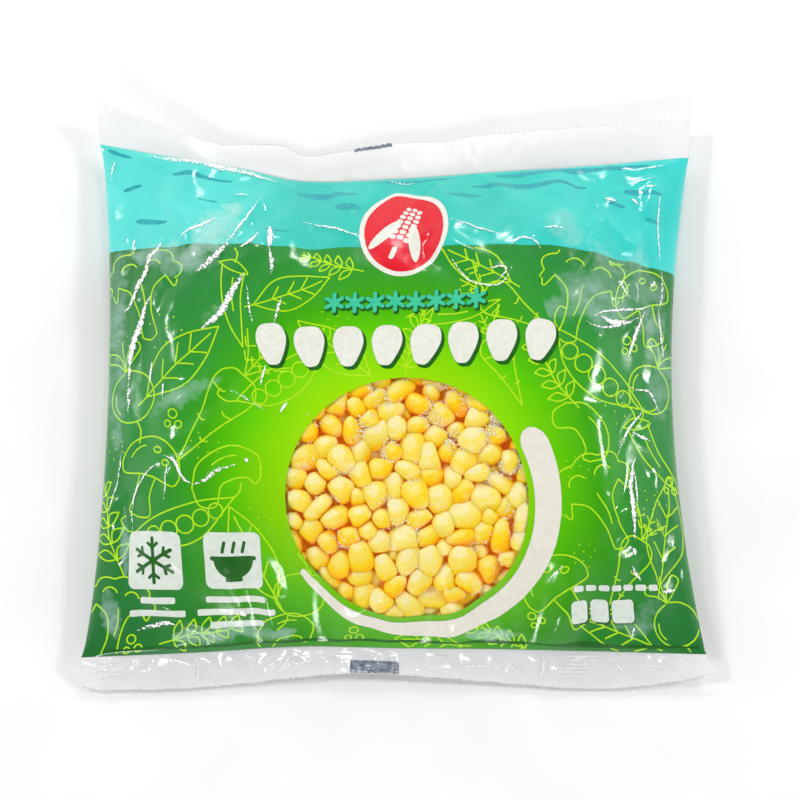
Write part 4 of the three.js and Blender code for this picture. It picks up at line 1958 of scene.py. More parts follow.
@dataclass(frozen=True)
class CrimpedFin:
    """One clear end fin: both plies of the film pressed together between heated ribbed jaws.

    Attributes:
        end: Which end it is.
        seed: Seed of its wrinkles.
        wrinkles: How many wrinkles it has.
        wrinkle_height: Height of the tallest wrinkle.
        thickness: Thickness of the two plies, drawn thicker than real so that it is solid.
        rib_pitch: Distance between the jaw's ribs.
        rib_height: Height of the ribs.
        tooth_pitch: Distance between the teeth of the cut.
        tooth_depth: Depth of the teeth.
    """

    end: End
    seed: int
    wrinkles: int
    wrinkle_height: float
    thickness: float = 0.3
    rib_pitch: float = 1.7
    rib_height: float = 0.1
    tooth_pitch: float = 2.2
    tooth_depth: float = 0.45
    columns: int = 420
    rows: int = 22

    @property
    def sign(self) -> int:
        """Which way is out from the seal, 1 for up the bag and -1 for down."""
        return 1 if self.end is End.TOP else -1

    def lift(self, flat: Array, out: Array, length: Array) -> Array:
        """Adds up the ribs and the wrinkles of the fin.

        Args:
            flat: Places across.
            out: Shares of the way out.
            length: How far the fin reaches there.

        Returns:
            The heights.
        """
        away = out * length
        ribs = self.rib_height * np.sin(2 * np.pi * away / self.rib_pitch)
        lift = ribs * smooth_step(0.0, 1.5, away)
        draw = np.random.default_rng(self.seed)
        for _ in range(self.wrinkles):
            u = draw.uniform(-108, 108)
            v = draw.uniform(0, 12)
            angle = math.pi / 2 + draw.normal(0, 0.7)
            half = draw.uniform(2.5, 8)
            step = (half * math.cos(angle), half * math.sin(angle))
            path = ((u - step[0], v - step[1]), (u + draw.normal(0, 0.8), v), (u + step[0], v + step[1]))
            height = draw.uniform(-1, 1) * self.wrinkle_height
            Crease(path, float(height), draw.uniform(0.7, 1.8)).add_to(lift, flat, away)
        return lift * smooth_step(-0.5, 2.5, away)

    def length(self, form: BagForm, flat: Array) -> Array:
        """Finds how far the fin reaches from the seal at places across."""
        seal = form.fin(flat, 0 * flat, self.end)
        return np.linalg.norm(form.fin(flat, 0 * flat + 1, self.end) - seal, axis=-1)

    def place(self, form: BagForm) -> Place:
        """Gives where marks lie on the fin, by places across and millimetres out from the seal.

        Args:
            form: The bag's form.

        Returns:
            A function to points and normals.
        """

        def value(u: Array, away: Array) -> Arrays:
            """Finds points and normals on the fin's upper face.

            Args:
                u: Places across.
                away: Millimetres out from the seal.

            Returns:
                The points and the normals.
            """
            points = self.surface(form, u, np.clip(away / self.length(form, u), 0, 1))
            points[..., 2] += self.thickness / 2
            return points, np.zeros_like(points) + (0.0, 0.0, 1.0)

        return value

    def surface(self, form: BagForm, flat: Array, out: Array) -> Array:
        """Finds points in the middle of the fin, from places across and shares of the way out.

        Args:
            form: The bag's form.
            flat: Places across.
            out: Shares of the way out.

        Returns:
            The points.
        """
        points = form.fin(flat, out, self.end)
        points[..., 2] += self.lift(flat, out, self.length(form, flat))
        tooth = np.abs((flat / self.tooth_pitch) % 1 - 0.5) * 2
        jag = self.tooth_depth * (tooth - 0.5) + 0.35 * noise_over(flat, flat * 0, 6.0, float(self.seed))
        points[..., 1] += self.sign * jag * out**6
        points[..., 2] = np.maximum(points[..., 2], self.thickness / 2 + 0.02)
        return points

    def build(self, form: BagForm, film: bpy.types.Material) -> Piece:
        """Builds the fin as one closed thin sheet.

        Args:
            form: The bag's form.
            film: The film's material.

        Returns:
            The piece.
        """
        us = np.linspace(-form.half_width, form.half_width, self.columns)
        middle = self.surface(form, *np.meshgrid(us, np.linspace(0, 1, self.rows), indexing="ij"))
        out = lattice_normals(middle) * self.sign * self.thickness / 2
        points, faces = closed_sheet(middle + out, middle - out, self.end is End.BOTTOM)
        return add_mesh(f"clear_fin_{self.end.value}", points, faces, film)

    def mark(self, form: BagForm, low: Pair, high: Pair, ink: PrintInk) -> Piece:
        """Lays the dark mark that the wrapping machine's eye reads onto the fin.

        Args:
            form: The bag's form.
            low: Low corner, as a place across and a share of the way out.
            high: High corner.
            ink: Its ink.

        Returns:
            The mark.
        """
        us = np.linspace(low[0], high[0], 40)
        outs = np.linspace(low[1], high[1], 12)
        points = self.surface(form, *np.meshgrid(us, outs, indexing="ij"))
        points = points + np.array([0, 0, 1.0]) * (self.thickness / 2 + 0.06)
        faces = lattice_faces(len(us), len(outs), 0, turned=self.end is End.BOTTOM)
        return add_mesh(f"eye_mark_{self.end.value}", points.reshape(-1, 3), faces, ink.material())


@dataclass(frozen=True)
class BackSeam:
    """The lap seam that closes the tube along the middle of its back, from seal to seal.

    Attributes:
        width: Width of the lap.
        thickness: Its thickness.
        film_gap: How far it lies below the back.
        rib_height: Height of the ribs that the sealing wheel leaves.
        rib_pitch: Distance between them.
    """

    width: float = 12.0
    thickness: float = 0.22
    film_gap: float = 0.04
    rib_height: float = 0.04
    rib_pitch: float = 3.0

    def build(self, form: BagForm, tube: PrintedTube) -> Piece:
        """Builds the seam as a thin ribbed strip, closed all round.

        Args:
            form: The bag's form, whose back it follows.
            tube: The printed tube, whose print it carries on.

        Returns:
            The piece.
        """
        xs = np.linspace(-self.width / 2, self.width / 2, 13)
        foot, head = form.seals(np.zeros(1))
        ys = np.linspace(foot[0], head[0], 171)
        x, y = np.meshgrid(xs, ys, indexing="ij")
        back, along = form.under(x, y)
        ribs = self.rib_height * (1 + np.cos(2 * np.pi * y / self.rib_pitch)) / 2
        under = np.stack([x, y, back - self.film_gap - self.thickness - ribs], -1)
        over = np.stack([x, y, back - self.film_gap], -1)
        film = tube.print_places(x.ravel(), along.ravel() * form.body_length)
        points, faces = closed_sheet(under, over, True)
        return add_mesh("back_seam", points, faces, tube.finish.material(), film=np.vstack([film, film]))


@dataclass(frozen=True)
class Kernel:
    """The size and form of a cut sweetcorn kernel: a squarish crown, flat flanks, a cut foot.

    Attributes:
        length: From the cut to the crown.
        width: Across the broad side.
        thickness: Across the narrow side.
        balls: Balls that stand in for it while the heap settles, as x, y, z and radius.
    """

    length: float = 10.2
    width: float = 8.8
    thickness: float = 7.0
    balls: tuple[tuple[float, float, float, float], ...] = (
        (-1.2, 0, 1.5, 3.0), (1.2, 0, 1.5, 3.0), (-0.6, 0, -1.6, 2.7), (0.6, 0, -1.6, 2.7)
    )

    def shape(self, ways: Array, draw: np.random.Generator) -> Arrays:
        """Forms one kernel from directions out of its middle.

        Args:
            ways: Unit directions, one row each.
            draw: Where its chances come from.

        Returns:
            The points and how near each is to the cut foot, from 0 to 1.
        """
        power = draw.uniform(2.0, 3.5)
        points = ways / (np.abs(ways) ** power).sum(1, keepdims=True) ** (1 / power)
        foot = np.clip((0.35 - points[:, 2]) / 1.35, 0, 1)
        points[:, 0] *= 1 - draw.uniform(0.08, 0.5) * foot
        points[:, 1] *= 1 - draw.uniform(0.05, 0.4) * foot
        # Neighbours on the cob press flats into a kernel, and the knife cuts its foot off.
        flats = [
            (draw.normal(size=3) * (1, 1, 0.35), draw.uniform(0.66, 0.96)) for _ in range(draw.integers(2, 5))
        ]
        flats.append((np.array([draw.normal(0, 0.3), draw.normal(0, 0.3), -1]), draw.uniform(0.62, 0.9)))
        for way, reach in flats:
            way = way / np.linalg.norm(way)
            over = points @ way - reach
            soft = 0.5 * (over + np.sqrt(over * over + 0.008))
            points -= way * (0.78 * soft[:, None])
        wobble = draw.uniform(0, 6, 3)
        points *= 1 + 0.03 * np.sin(3.1 * points + wobble).sum(1, keepdims=True)
        dimple = draw.uniform(0.0, 0.13) * np.exp(-((np.hypot(ways[:, 0], ways[:, 1]) / 0.4) ** 2))
        points[:, 2] -= dimple * (ways[:, 2] > 0)
        points[:, 0] += draw.normal(0, 0.1) * points[:, 2] ** 2
        stretch = np.array([draw.uniform(0.76, 1.1), draw.uniform(0.84, 1.14), draw.uniform(0.8, 1.18)])
        size = np.array([self.width, self.thickness, self.length]) / 2 * 1.08
        return points * stretch * size, smooth_step(-0.35, -0.9, ways[:, 2])


@dataclass
class CornHeap:
    """The loose kernels behind the window, their frost and the frozen mass below them.

    Attributes:
        centre: The window's centre in plan.
        radius: Radius of the heap, a little more than the window's.
        count: How many kernels it has.
        depth: How deep below the film it goes.
        settle_steps: How many steps it takes to settle.
        film_gap: Room between film and kernels.
        seal_room: Room between the core and the bottom seal.
        fine_count: How many kernels, those nearest the film, are formed finely.
        crystals: How many frost crystals there are.
        light_way: Where most light comes from. Kernel skin that faces it gets a painted highlight, and skin
            turned away from it painted shade.
    """

    centre: Pair = (2.1, -41.8)
    radius: float = 46.5
    count: int = 262
    depth: float = 17.0
    floor: float = 8.0
    settle_steps: int = 170
    film_gap: float = 0.9
    seal_room: float = 6.0
    fine_count: int = 112
    crystals: int = 5200
    seed: int = 12
    light_way: tuple[float, float, float] = (-0.22, 0.36, 0.91)
    kernel: Kernel = field(default_factory=Kernel)

    def settle(self, skin: FilmSkin) -> tuple[Array, Array, Array]:
        """Packs the kernels against the film: they push each other apart and press up.

        Args:
            skin: The film above them.

        Returns:
            Each kernel's middle, its turn as a matrix, and its size.
        """
        draw = np.random.default_rng(self.seed)
        away = (self.radius - 4) * np.sqrt(draw.random(self.count))
        angle = draw.uniform(0, 2 * math.pi, self.count)
        x = self.centre[0] + away * np.cos(angle)
        y = self.centre[1] + away * np.sin(angle)
        z = skin.height_over(x, y) - 4 - self.depth * draw.random(self.count)
        middles = np.stack([x, y, z], 1)
        turns = np.linalg.qr(draw.normal(size=(self.count, 3, 3)))[0]
        turns *= np.sign(np.linalg.det(turns))[:, None, None]
        sizes = draw.uniform(0.86, 1.1, self.count)
        balls = np.array(self.kernel.balls)
        local = balls[None, :, :3] * sizes[:, None, None]
        local = local - local.mean(1, keepdims=True)
        radii = (balls[None, :, 3] * sizes[:, None]).ravel().astype(np.float32)
        owner = np.repeat(np.arange(self.count), len(balls))
        apart = owner[:, None] != owner[None, :]
        reach = (radii[:, None] + radii[None, :]) * apart
        for step in range(self.settle_steps):
            spots = (middles[:, None, :] + local @ turns.transpose(0, 2, 1)).reshape(-1, 3)
            small = spots.astype(np.float32)
            gap = small[:, None, :] - small[None, :, :]
            far = np.sqrt((gap * gap).sum(-1)) + 1e-5
            overlap = np.clip(reach - far, 0, None) / far
            moved = 0.3 * (overlap[..., None] * gap).sum(1).astype(float)
            moved[:, 2] += 0.14 * (1 - step / self.settle_steps)
            ceiling = skin.height_over(spots[:, 0], spots[:, 1]) - self.film_gap - radii
            moved[:, 2] -= np.clip(spots[:, 2] + moved[:, 2] - ceiling, 0, None)
            moved[:, 2] += np.clip(self.floor + radii - spots[:, 2], 0, None)
            out = spots[:, :2] - self.centre
            span = np.linalg.norm(out, axis=1) + 1e-6
            back = np.clip(span + radii - self.radius, 0, None) / span
            moved[:, :2] -= out * back[:, None]
            spots = (spots + moved).reshape(self.count, -1, 3)
            middles = spots.mean(1)
            lean = np.einsum("nki,nkj->nij", spots - middles[:, None], local)
            left, _, right = np.linalg.svd(lean)
            flip = np.sign(np.linalg.det(left @ right))
            left[:, :, 2] *= flip[:, None]
            turns = left @ right
        return middles, turns, sizes

    def ball_ways(self, level: int) -> Arrays:
        """Gives the corners and the faces of a finely divided ball.

        Args:
            level: How many times it is divided.

        Returns:
            Unit directions, and the faces.
        """
        build = bmesh.new()
        bmesh.ops.create_icosphere(build, subdivisions=level, radius=1.0)
        build.verts.ensure_lookup_table()
        ways = np.array([vert.co[:] for vert in build.verts])
        faces = np.array([[vert.index for vert in face.verts] for face in build.faces])
        build.free()
        return ways / np.linalg.norm(ways, axis=1, keepdims=True), faces

    def build(self, skin: FilmSkin) -> list[Piece]:
        """Builds the kernels, the frost and the core.

        Args:
            skin: The film above them.

        Returns:
            The pieces, kernels first.
        """
        middles, turns, sizes = self.settle(skin)
        draw = np.random.default_rng(self.seed + 1)
        below = skin.height_over(middles[:, 0], middles[:, 1]) - middles[:, 2]
        nearest = np.sort(below)[self.fine_count]
        balls = {True: self.ball_ways(4), False: self.ball_ways(3)}
        points: list[Array] = []
        faces: list[Array] = []
        tones_and_shading: list[Array] = []
        tips: list[Array] = []
        shown: list[Array] = []
        start = 0
        for middle, turn, size, deep in zip(middles, turns, sizes, below):
            fine = bool(deep < nearest)
            ways, sides = balls[fine]
            local, tip = self.kernel.shape(ways, draw)
            placed = middle + (local * size) @ turn.T
            ceiling = skin.height_over(placed[:, 0], placed[:, 1]) - self.film_gap * 0.3
            back = skin.form.under(placed[:, 0], placed[:, 1])[0] + self.film_gap * 0.5
            placed[:, 2] = np.maximum(np.minimum(placed[:, 2], ceiling), back)
            points.append(placed)
            faces.append(sides + start)
            # Painted light and shade: skin facing light_way is painted paler as a highlight (crown), skin
            # turned away darker as shade (painted_shade), and skin sunk below the film darker still. own is
            # each kernel's random lightness, a little darker towards the top of the heap.
            lit = (ways @ turn.T) @ np.array(self.light_way)
            painted_shade = smooth_step(0.8, -0.1, lit)
            crown = smooth_step(0.78, 1.0, lit)
            sunk = np.clip(ceiling - placed[:, 2] - 1.5, 0, 8)
            rise = (middle[1] - self.centre[1]) / self.radius
            own = 0.36 + 0.54 * draw.beta(2.0, 1.9) - 0.14 * float(smooth_step(0.2, 0.9, np.float64(rise)))
            tone = own + 0.36 * crown - 0.42 * painted_shade - 0.045 * sunk
            tones_and_shading.append(np.clip(tone, 0, 1))
            tips.append(tip * draw.uniform(0.1, 0.9))
            if fine:
                shown.append(placed)
            start += len(placed)
        listed = [tuple(side) for side in np.vstack(faces).tolist()]
        kernels = add_mesh("corn_kernels", np.vstack(points), listed, SweetcornSkin().material())
        for name, values in (("tone", tones_and_shading), ("tip", tips)):
            layer = kernels.data.attributes.new(name, "FLOAT", "POINT")
            layer.data.foreach_set("value", np.concatenate(values).astype(np.float32))
        return [kernels, self.frost(skin, np.vstack(shown)), self.core(skin)]

    def frost(self, skin: FilmSkin, shown: Array) -> Piece:
        """Builds the frost crystals that sit in the gaps between the kernels.

        Args:
            skin: The film above.
            shown: Points of the kernels that show.

        Returns:
            The piece.
        """
        draw = np.random.default_rng(self.seed + 2)
        deep = skin.height_over(shown[:, 0], shown[:, 1]) - shown[:, 2]
        patch = np.array([noise.noise(Vector((x / 9, y / 9, 4.0))) for x, y, _ in shown])
        right = (shown[:, 0] - self.centre[0]) / self.radius
        up = (shown[:, 1] - self.centre[1]) / self.radius
        chance = np.clip(patch + 0.25 * right + 0.3 * up, 0, 1) ** 1.5 * ((deep > 0.9) & (deep < 5.0))
        chosen = draw.choice(len(shown), self.crystals, p=chance / chance.sum())
        corners = np.array([(1, 0, 0), (-1, 0, 0), (0, 1, 0), (0, -1, 0), (0, 0, 1.5), (0, 0, -1.5)])
        sides = np.array(
            [(0, 2, 4), (2, 1, 4), (1, 3, 4), (3, 0, 4), (2, 0, 5), (1, 2, 5), (3, 1, 5), (0, 3, 5)]
        )
        turns = np.linalg.qr(draw.normal(size=(self.crystals, 3, 3)))[0]
        turns *= np.sign(np.linalg.det(turns))[:, None, None]
        size = draw.uniform(0.14, 0.4, self.crystals)
        spots = shown[chosen] + draw.normal(0, 0.25, (self.crystals, 3)) + (0, 0, 0.25)
        points = spots[:, None, :] + (corners[None] * size[:, None, None]) @ turns.transpose(0, 2, 1)
        faces = (sides[None] + 6 * np.arange(self.crystals)[:, None, None]).reshape(-1, 3)
        piece = add_mesh(
            "frost_crystals", points.reshape(-1, 3), [tuple(f) for f in faces.tolist()],
            FrostCrystal().material(),
        )
        piece.data.polygons.foreach_set("use_smooth", np.zeros(len(piece.data.polygons), bool))
        return piece

    def core(self, skin: FilmSkin) -> Piece:
        """Builds the frozen mass under the loose kernels, as a lumpy disc above the bag's back.

        Args:
            skin: The film above.

        Returns:
            The piece.
        """
        spokes, rings = 72, 24
        angle = np.linspace(0, 2 * math.pi, spokes, endpoint=False)
        seal = skin.form.seals(np.array([self.centre[0]]))[0][0] + self.seal_room
        reach = np.minimum(self.radius + 5, (self.centre[1] - seal) / np.maximum(-np.sin(angle), 1e-3))
        a, share = np.meshgrid(angle, np.linspace(0.02, 1, rings), indexing="ij")
        r = share * reach[:, None]
        x = self.centre[0] + r * np.cos(a)
        y = self.centre[1] + r * np.sin(a)
        roof = skin.height_over(x, y)
        back = skin.form.under(x, y)[0] + self.film_gap * 0.5
        z = roof - 7.0 + 1.6 * noise_over(x, y, 6.0, 2.0)
        z = np.clip(np.maximum(z, self.floor - 2), back + 0.4, np.maximum(roof - 1, back + 0.5))
        top = np.stack([x, y, z], -1)
        under = np.stack([x, y, back], -1)
        count = spokes * rings
        faces: Faces = []
        for i in range(spokes):
            n = (i + 1) % spokes
            for j in range(rings - 1):
                a0, b0, b1, a1 = i * rings + j, n * rings + j, n * rings + j + 1, i * rings + j + 1
                faces.append((a0, a1, b1, b0))
                faces.append((a0 + count, b0 + count, b1 + count, a1 + count))
            a0, b0 = i * rings + rings - 1, n * rings + rings - 1
            faces.append((a0, a0 + count, b0 + count, b0))
        faces.append(tuple(i * rings for i in range(spokes)))
        faces.append(tuple(i * rings + count for i in range(spokes - 1, -1, -1)))
        points = np.vstack([top.reshape(-1, 3), under.reshape(-1, 3)])
        return add_mesh("corn_core", points, faces, CornLiquor().material())


@dataclass(frozen=True)
class Inks:
    """The inks of the print."""

    white: PrintInk = PrintInk("opaque_white_ink", "#eeeee4", "#e4e6d8")
    cream: PrintInk = PrintInk("warm_white_ink", "#ece8dc", "#e6e2d4")
    pale: PrintInk = PrintInk("pale_grey_white_ink", "#e2eae0", "#d6e0d4")
    shadow: PrintInk = PrintInk("dark_green_ink", "#1f5f1c", "#24691f")
    line: PrintInk = PrintInk("yellow_green_line_ink", "#b9ec22", "#a6e020")
    red: PrintInk = PrintInk("warm_red_ink", "#e81c28", "#de1a34")
    turquoise: PrintInk = PrintInk("turquoise_ink", "#45cda0", "#3ec49a")
    stroke: PrintInk = PrintInk("deep_turquoise_ink", "#2ba3ad", "#35b3b6")
    mark: PrintInk = PrintInk("blue_grey_ink", "#5d6a7e", "#8e97a2")


@dataclass(frozen=True)
class FrontPrint:
    """The generic print on the front: fields, marks and line drawings.

    Attributes:
        window_centre: The window's centre in film coordinates.
        window_radius: Its radius on the film.
        inks: The inks.
    """

    window_centre: Pair = (5.2, 56.0)
    window_radius: float = 42.8
    inks: Inks = Inks()

    def window(self) -> Shape:
        """Gives the window's outline."""
        return disc(*self.window_centre, self.window_radius)

    def drawings(self) -> tuple[Placed, ...]:
        """Lists the vegetable drawings and their places.

        Returns:
            The drawings.
        """
        d = Drawing
        rows = (
            (d.SPROUT, -92, 128, 34, 12), (d.CHILLI, -62, 128, 36, -20),
            (d.RADISH, -97, 92, 34, 18), (d.LEAF, -76, 103, 38, -48),
            (d.CARROT, -60, 88, 52, -38), (d.MUSHROOM, -88, 62, 30, -14),
            (d.BEAN, -58, 62, 32, 30), (d.SPRIG, -104, 44, 34, 16),
            (d.PEA_POD, -74, 48, 40, 20), (d.LEAF, -50, 36, 36, 24),
            (d.RADISH, -34, 22, 30, -30), (d.SPROUT, -100, 14, 28, -8),
            (d.SPRIG, -70, 8, 30, -80), (d.BEAN, -40, 6, 24, 10),
            (d.LEAF, -36, 131, 30, -66), (d.SPRIG, -22, 142, 24, 70),
            (d.PEA_POD, -38, 100, 40, 38), (d.LEAF, 30, 140, 30, 60),
            (d.CARROT, 42, 124, 40, 58), (d.SPROUT, 68, 128, 36, -16),
            (d.MUSHROOM, 95, 124, 30, 22), (d.PEA_POD, 76, 100, 44, -38),
            (d.RADISH, 98, 96, 32, -24), (d.SPRIG, 58, 98, 30, 34),
            (d.CHILLI, 92, 70, 38, 10), (d.BEAN, 68, 78, 28, -50),
            (d.SPROUT, 74, 54, 34, 26), (d.LEAF, 100, 44, 40, -12),
            (d.CARROT, 84, 32, 40, -30), (d.MUSHROOM, 58, 22, 30, 36),
            (d.LEAF, 76, 8, 32, 70), (d.RADISH, 101, 12, 30, 20),
            (d.SPRIG, 36, 4, 26, 64), (d.LEAF, 10, 3, 24, 84),
            (d.BUBBLES, -78, 82, 8, 0), (d.BUBBLES, -44, 112, 8, 30),
            (d.BUBBLES, -94, 4, 8, 12), (d.BUBBLES, -16, 6, 8, 0),
            (d.BUBBLES, 88, 110, 8, 20), (d.BUBBLES, 104, 60, 8, 0),
            (d.BUBBLES, 48, 12, 7, 40), (d.BUBBLES, 82, 142, 7, 10),
            (d.SEEDS, -82, 114, 16, 10), (d.SEEDS, -104, 110, 12, 40),
            (d.SEEDS, -66, 74, 12, 20), (d.SEEDS, -104, 72, 12, 0),
            (d.SEEDS, -48, 48, 12, 15), (d.SEEDS, 84, 88, 14, 30),
            (d.SEEDS, 66, 66, 10, 0), (d.SEEDS, 56, 112, 12, 25),
            (d.SEEDS, 92, 54, 12, 45), (d.SEEDS, 30, 110, 12, 10),
            (d.SEEDS, 66, 36, 10, 70), (d.SEEDS, -20, 122, 12, 5),
            (d.LEAF, -20, 110, 34, 52), (d.SPRIG, 8, 112, 30, -16),
            (d.CARROT, 40, 104, 36, 24), (d.CHILLI, 22, 118, 32, 70),
        )
        return tuple(Placed(*row) for row in rows)

    def allowed(self) -> Shape:
        """Gives where a line may be printed: on the green, off the window.

        Returns:
            The outline, as a field that is above zero inside.
        """
        window = self.window()

        def value(u: Array, v: Array) -> Array:
            """Measures how far inside the field for lines places are.

            Args:
                u: Places across.
                v: Places up.

            Returns:
                The values.
            """
            under = through(PrintedTube.border_line, u) - 1.0 - v
            inside = np.minimum(v - 0.6, 110.2 - np.abs(u))
            return np.minimum.reduce([under, inside, -window(u, v) - 0.6])

        return value

    def strokes(self) -> list[Patch]:
        """Draws the brush strokes in the turquoise band.

        Returns:
            The printed fields, lowest first.
        """
        draw = np.random.default_rng(41)
        spots = (
            (-104, 182.6, 5, 0.9, -0.2), (-73, 177.4, 12, 1.05, 0.0), (-91, 155.6, 6.6, 1.15, 0.04),
            (-99, 169, 4, 0.8, 0.45), (-66, 167, 8, 0.4, 0.05), (-25.5, 176.6, 11.5, 1.5, -0.05),
            (-18, 168.4, 5, 1.6, -0.16), (6, 183.2, 17, 0.7, 0.0), (25, 173, 7, 0.85, -0.02),
            (50, 176.4, 23, 1.35, -0.09), (66, 183, 32, 1.3, 0.0), (94, 171, 9, 1.2, -0.1),
            (82, 165.4, 4.6, 0.95, -0.3), (98, 158.6, 3.4, 0.85, -0.25), (-42, 156, 6, 0.5, 0.04),
        )
        patches = []
        for k, (u0, v0, half, tall, slope) in enumerate(spots):
            lean = slope + draw.normal(0, 0.01)
            seed = float(draw.uniform(0, 90))

            def shape(
                u: Array, v: Array, u0: float = u0, v0: float = v0, half: float = half,
                tall: float = tall, lean: float = lean, seed: float = seed,
            ) -> Array:
                """Measures how far inside the stroke places are."""
                x = (u - u0) / half
                lens = tall * np.clip(1 - np.abs(x) ** 2.4, 0, 1) ** 0.6 * (1 - 0.3 * x)
                ragged = 0.34 * noise_over(u / 1.6, v * 2.5, 3.0, seed)
                return lens - np.abs(v - v0 - lean * (u - u0)) + ragged * (lens > 0) - 0.1

            box = (u0 - half - 1, v0 - 5, min(110.0, u0 + half + 1), min(185.6, v0 + 5))
            patches.append(Patch(f"brush_stroke_{k:02d}", shape, box, self.inks.stroke))
        return patches

    def title(self) -> list[Patch]:
        """Draws the row of large kernels and the row of small frost stars over it.

        Returns:
            The printed fields, lowest first.
        """
        draw = np.random.default_rng(5)
        big: list[Shape] = []
        shades: list[Shape] = []
        for k in range(8):
            u0 = -42.6 + 13.75 * k
            lean = float(draw.uniform(-0.22, 0.22))
            big.append(kernel_mark(u0, 111, 5.6, 7.6, lean))
            shades.append(kernel_mark(u0 + 1.0, 109.9, 5.75, 7.75, lean))
        stars = [frost_star(-20.5 + 7.3 * k, 127.4, 3.9, 0.72, False) for k in range(8)]
        glows = [frost_star(-20.0 + 7.3 * k, 126.8, 4.2, 1.0, False) for k in range(8)]
        row = (-50, 101, 62, 120)
        small = (-27, 121, 38, 133)
        return [
            Patch("kernel_row_shade", any_of(*shades), row, self.inks.shadow, 2),
            Patch("kernel_row", any_of(*big), row, self.inks.white, 3),
            Patch("frost_row_shade", any_of(*glows), small, self.inks.shadow, 2, 0.3),
            Patch("frost_row", any_of(*stars), small, self.inks.turquoise, 3, 0.3),
        ]

    def badge(self) -> list[Patch]:
        """Draws the oval badge with its pale rim and a plain corn cob.

        Returns:
            The printed fields, lowest first.
        """
        u0, v0 = 3.2, 156.5
        lean = -0.32
        c, s = math.cos(lean), math.sin(lean)

        def at(x: float, y: float) -> Pair:
            """Turns a place on the badge into film coordinates."""
            return u0 + x * c - y * s, v0 + x * s + y * c

        cob = []
        for row in range(7):
            y = 11.2 - 2.55 * row
            for x, tall in ((-2.7, 0.6), (0.0, 0.0), (2.7, 0.6)):
                narrow = 1 - 0.045 * max(0, 3 - row) ** 1.5
                cob.append(tablet(*at(x * narrow, y - tall), 1.12 * narrow, 0.98, 0.75, lean))
        husks = [
            leaf_oval(*at(side * 5.6, -4.2), 8.4, 2.2, lean + math.pi / 2 + side * 0.42) for side in (-1, 1)
        ]
        stalk = tablet(*at(0, -11.2), 0.9, 2.6, 0.8, lean)
        box = (-15, 134, 22, 179)
        return [
            Patch("badge_rim", oval(u0, v0, 16.2, 19.8), box, self.inks.white, 2),
            Patch("badge_field", oval(u0, v0, 14.4, 18.0), box, self.inks.red, 3),
            Patch("badge_cob", any_of(*cob, *husks, stalk), box, self.inks.white, 4, 0.3),
        ]

    def swoosh(self) -> Patch:
        """Draws the pale crescent beside the window."""
        shape = crescent(self.window_centre, self.window_radius + 2.3, 10.4, 0.5, 3.05, 6.5, 1.6)
        return Patch("pale_crescent", shape, (-45, 1.0, 63, 84), self.inks.cream, 2)

    def signs(self) -> list[Patch]:
        """Draws the two pale squares, each with a plain sign, and the bars below them.

        Returns:
            The printed fields, lowest first.
        """
        inks = self.inks
        left, right, level = -85.5, -57.0, 33.5
        squares = any_of(*(tablet(x, level, 10.2, 10.0, 2.6) for x in (left, right)))
        star = frost_star(left, level, 8.2, 0.62, True)
        bowl = without(disc(right, level + 0.6, 7.0), tablet(right, level + 5.4, 9, 5, 0.1))
        foot = tablet(right, level - 6.6, 3.0, 0.8, 0.5)
        rim = tablet(right, level + 0.9, 8.2, 0.75, 0.7)
        steam = [tablet(right + x, level + 4.8, 0.55, 2.2, 0.5, -0.25) for x in (-3.2, 0.3, 3.8)]
        bars = [
            tablet(-85, 19.6, 6.2, 1.15, 0.6), tablet(-85, 15.0, 10.2, 1.15, 0.6),
            tablet(-57, 19.6, 10.6, 1.15, 0.6), tablet(-57, 15.0, 13.6, 1.15, 0.6),
            tablet(-57, 10.4, 9.4, 1.15, 0.6),
        ]
        return [
            Patch("sign_squares", squares, (-97, 22, -45, 45), inks.pale, 2),
            Patch("frost_sign", star, (-95, 24, -76, 43), inks.shadow, 3, 0.25),
            Patch("bowl_sign", any_of(bowl, foot, rim, *steam), (-67, 24, -47, 43), inks.shadow, 3, 0.25),
            Patch("caption_bars", any_of(*bars), (-97, 8, -42, 22), inks.pale, 2, 0.35),
        ]

    def weight_bars(self) -> list[Patch]:
        """Draws the plain bars at the lower right.

        Returns:
            The printed fields, lowest first.
        """
        bars = [tablet(63.5 + 4.9 * k, 24.0, 2.0, 1.1, 0.7) for k in range(7)]
        places = ((63.6, 3.2), (71.2, 3.2), (80.4, 4.6))
        blocks = [tablet(x, 15.4, wide, 4.3, 1.6) for x, wide in places]
        shades = [tablet(x + 0.7, 14.7, wide, 4.4, 1.6) for x, wide in places]
        return [
            Patch("small_bars", any_of(*bars), (60, 22, 97, 26), self.inks.pale, 3, 0.35),
            Patch("block_shades", any_of(*shades), (58, 9, 88, 21), self.inks.shadow, 2, 0.35),
            Patch("blocks", any_of(*blocks), (58, 9, 88, 21), self.inks.pale, 3, 0.35),
        ]

    def seal_shadow_line(self) -> Patch:
        """Draws the dark edge of the green where it meets the bottom seal, as a painted shadow where the film
        turns down into the seal.

        Returns:
            The printed field.
        """

        def shape(u: Array, v: Array) -> Array:
            """Measures how far inside the line places are."""
            bold = 0.42 + 0.5 * np.exp(-(((u - 68) / 14) ** 2)) + 0.35 * noise_over(u, v * 0, 14.0, 6.0)
            return bold - np.abs(v - 3.1 + 0.9 * (u / 111) ** 2 - 0.5 * noise_over(u, v * 0, 30.0, 2.0))

        # Painted shadow: dark green ink along the bottom seal, where the film lies in shade.
        return Patch("seal_edge_line", shape, (-104, 0.4, 109, 6), self.inks.shadow, 2, 0.3)

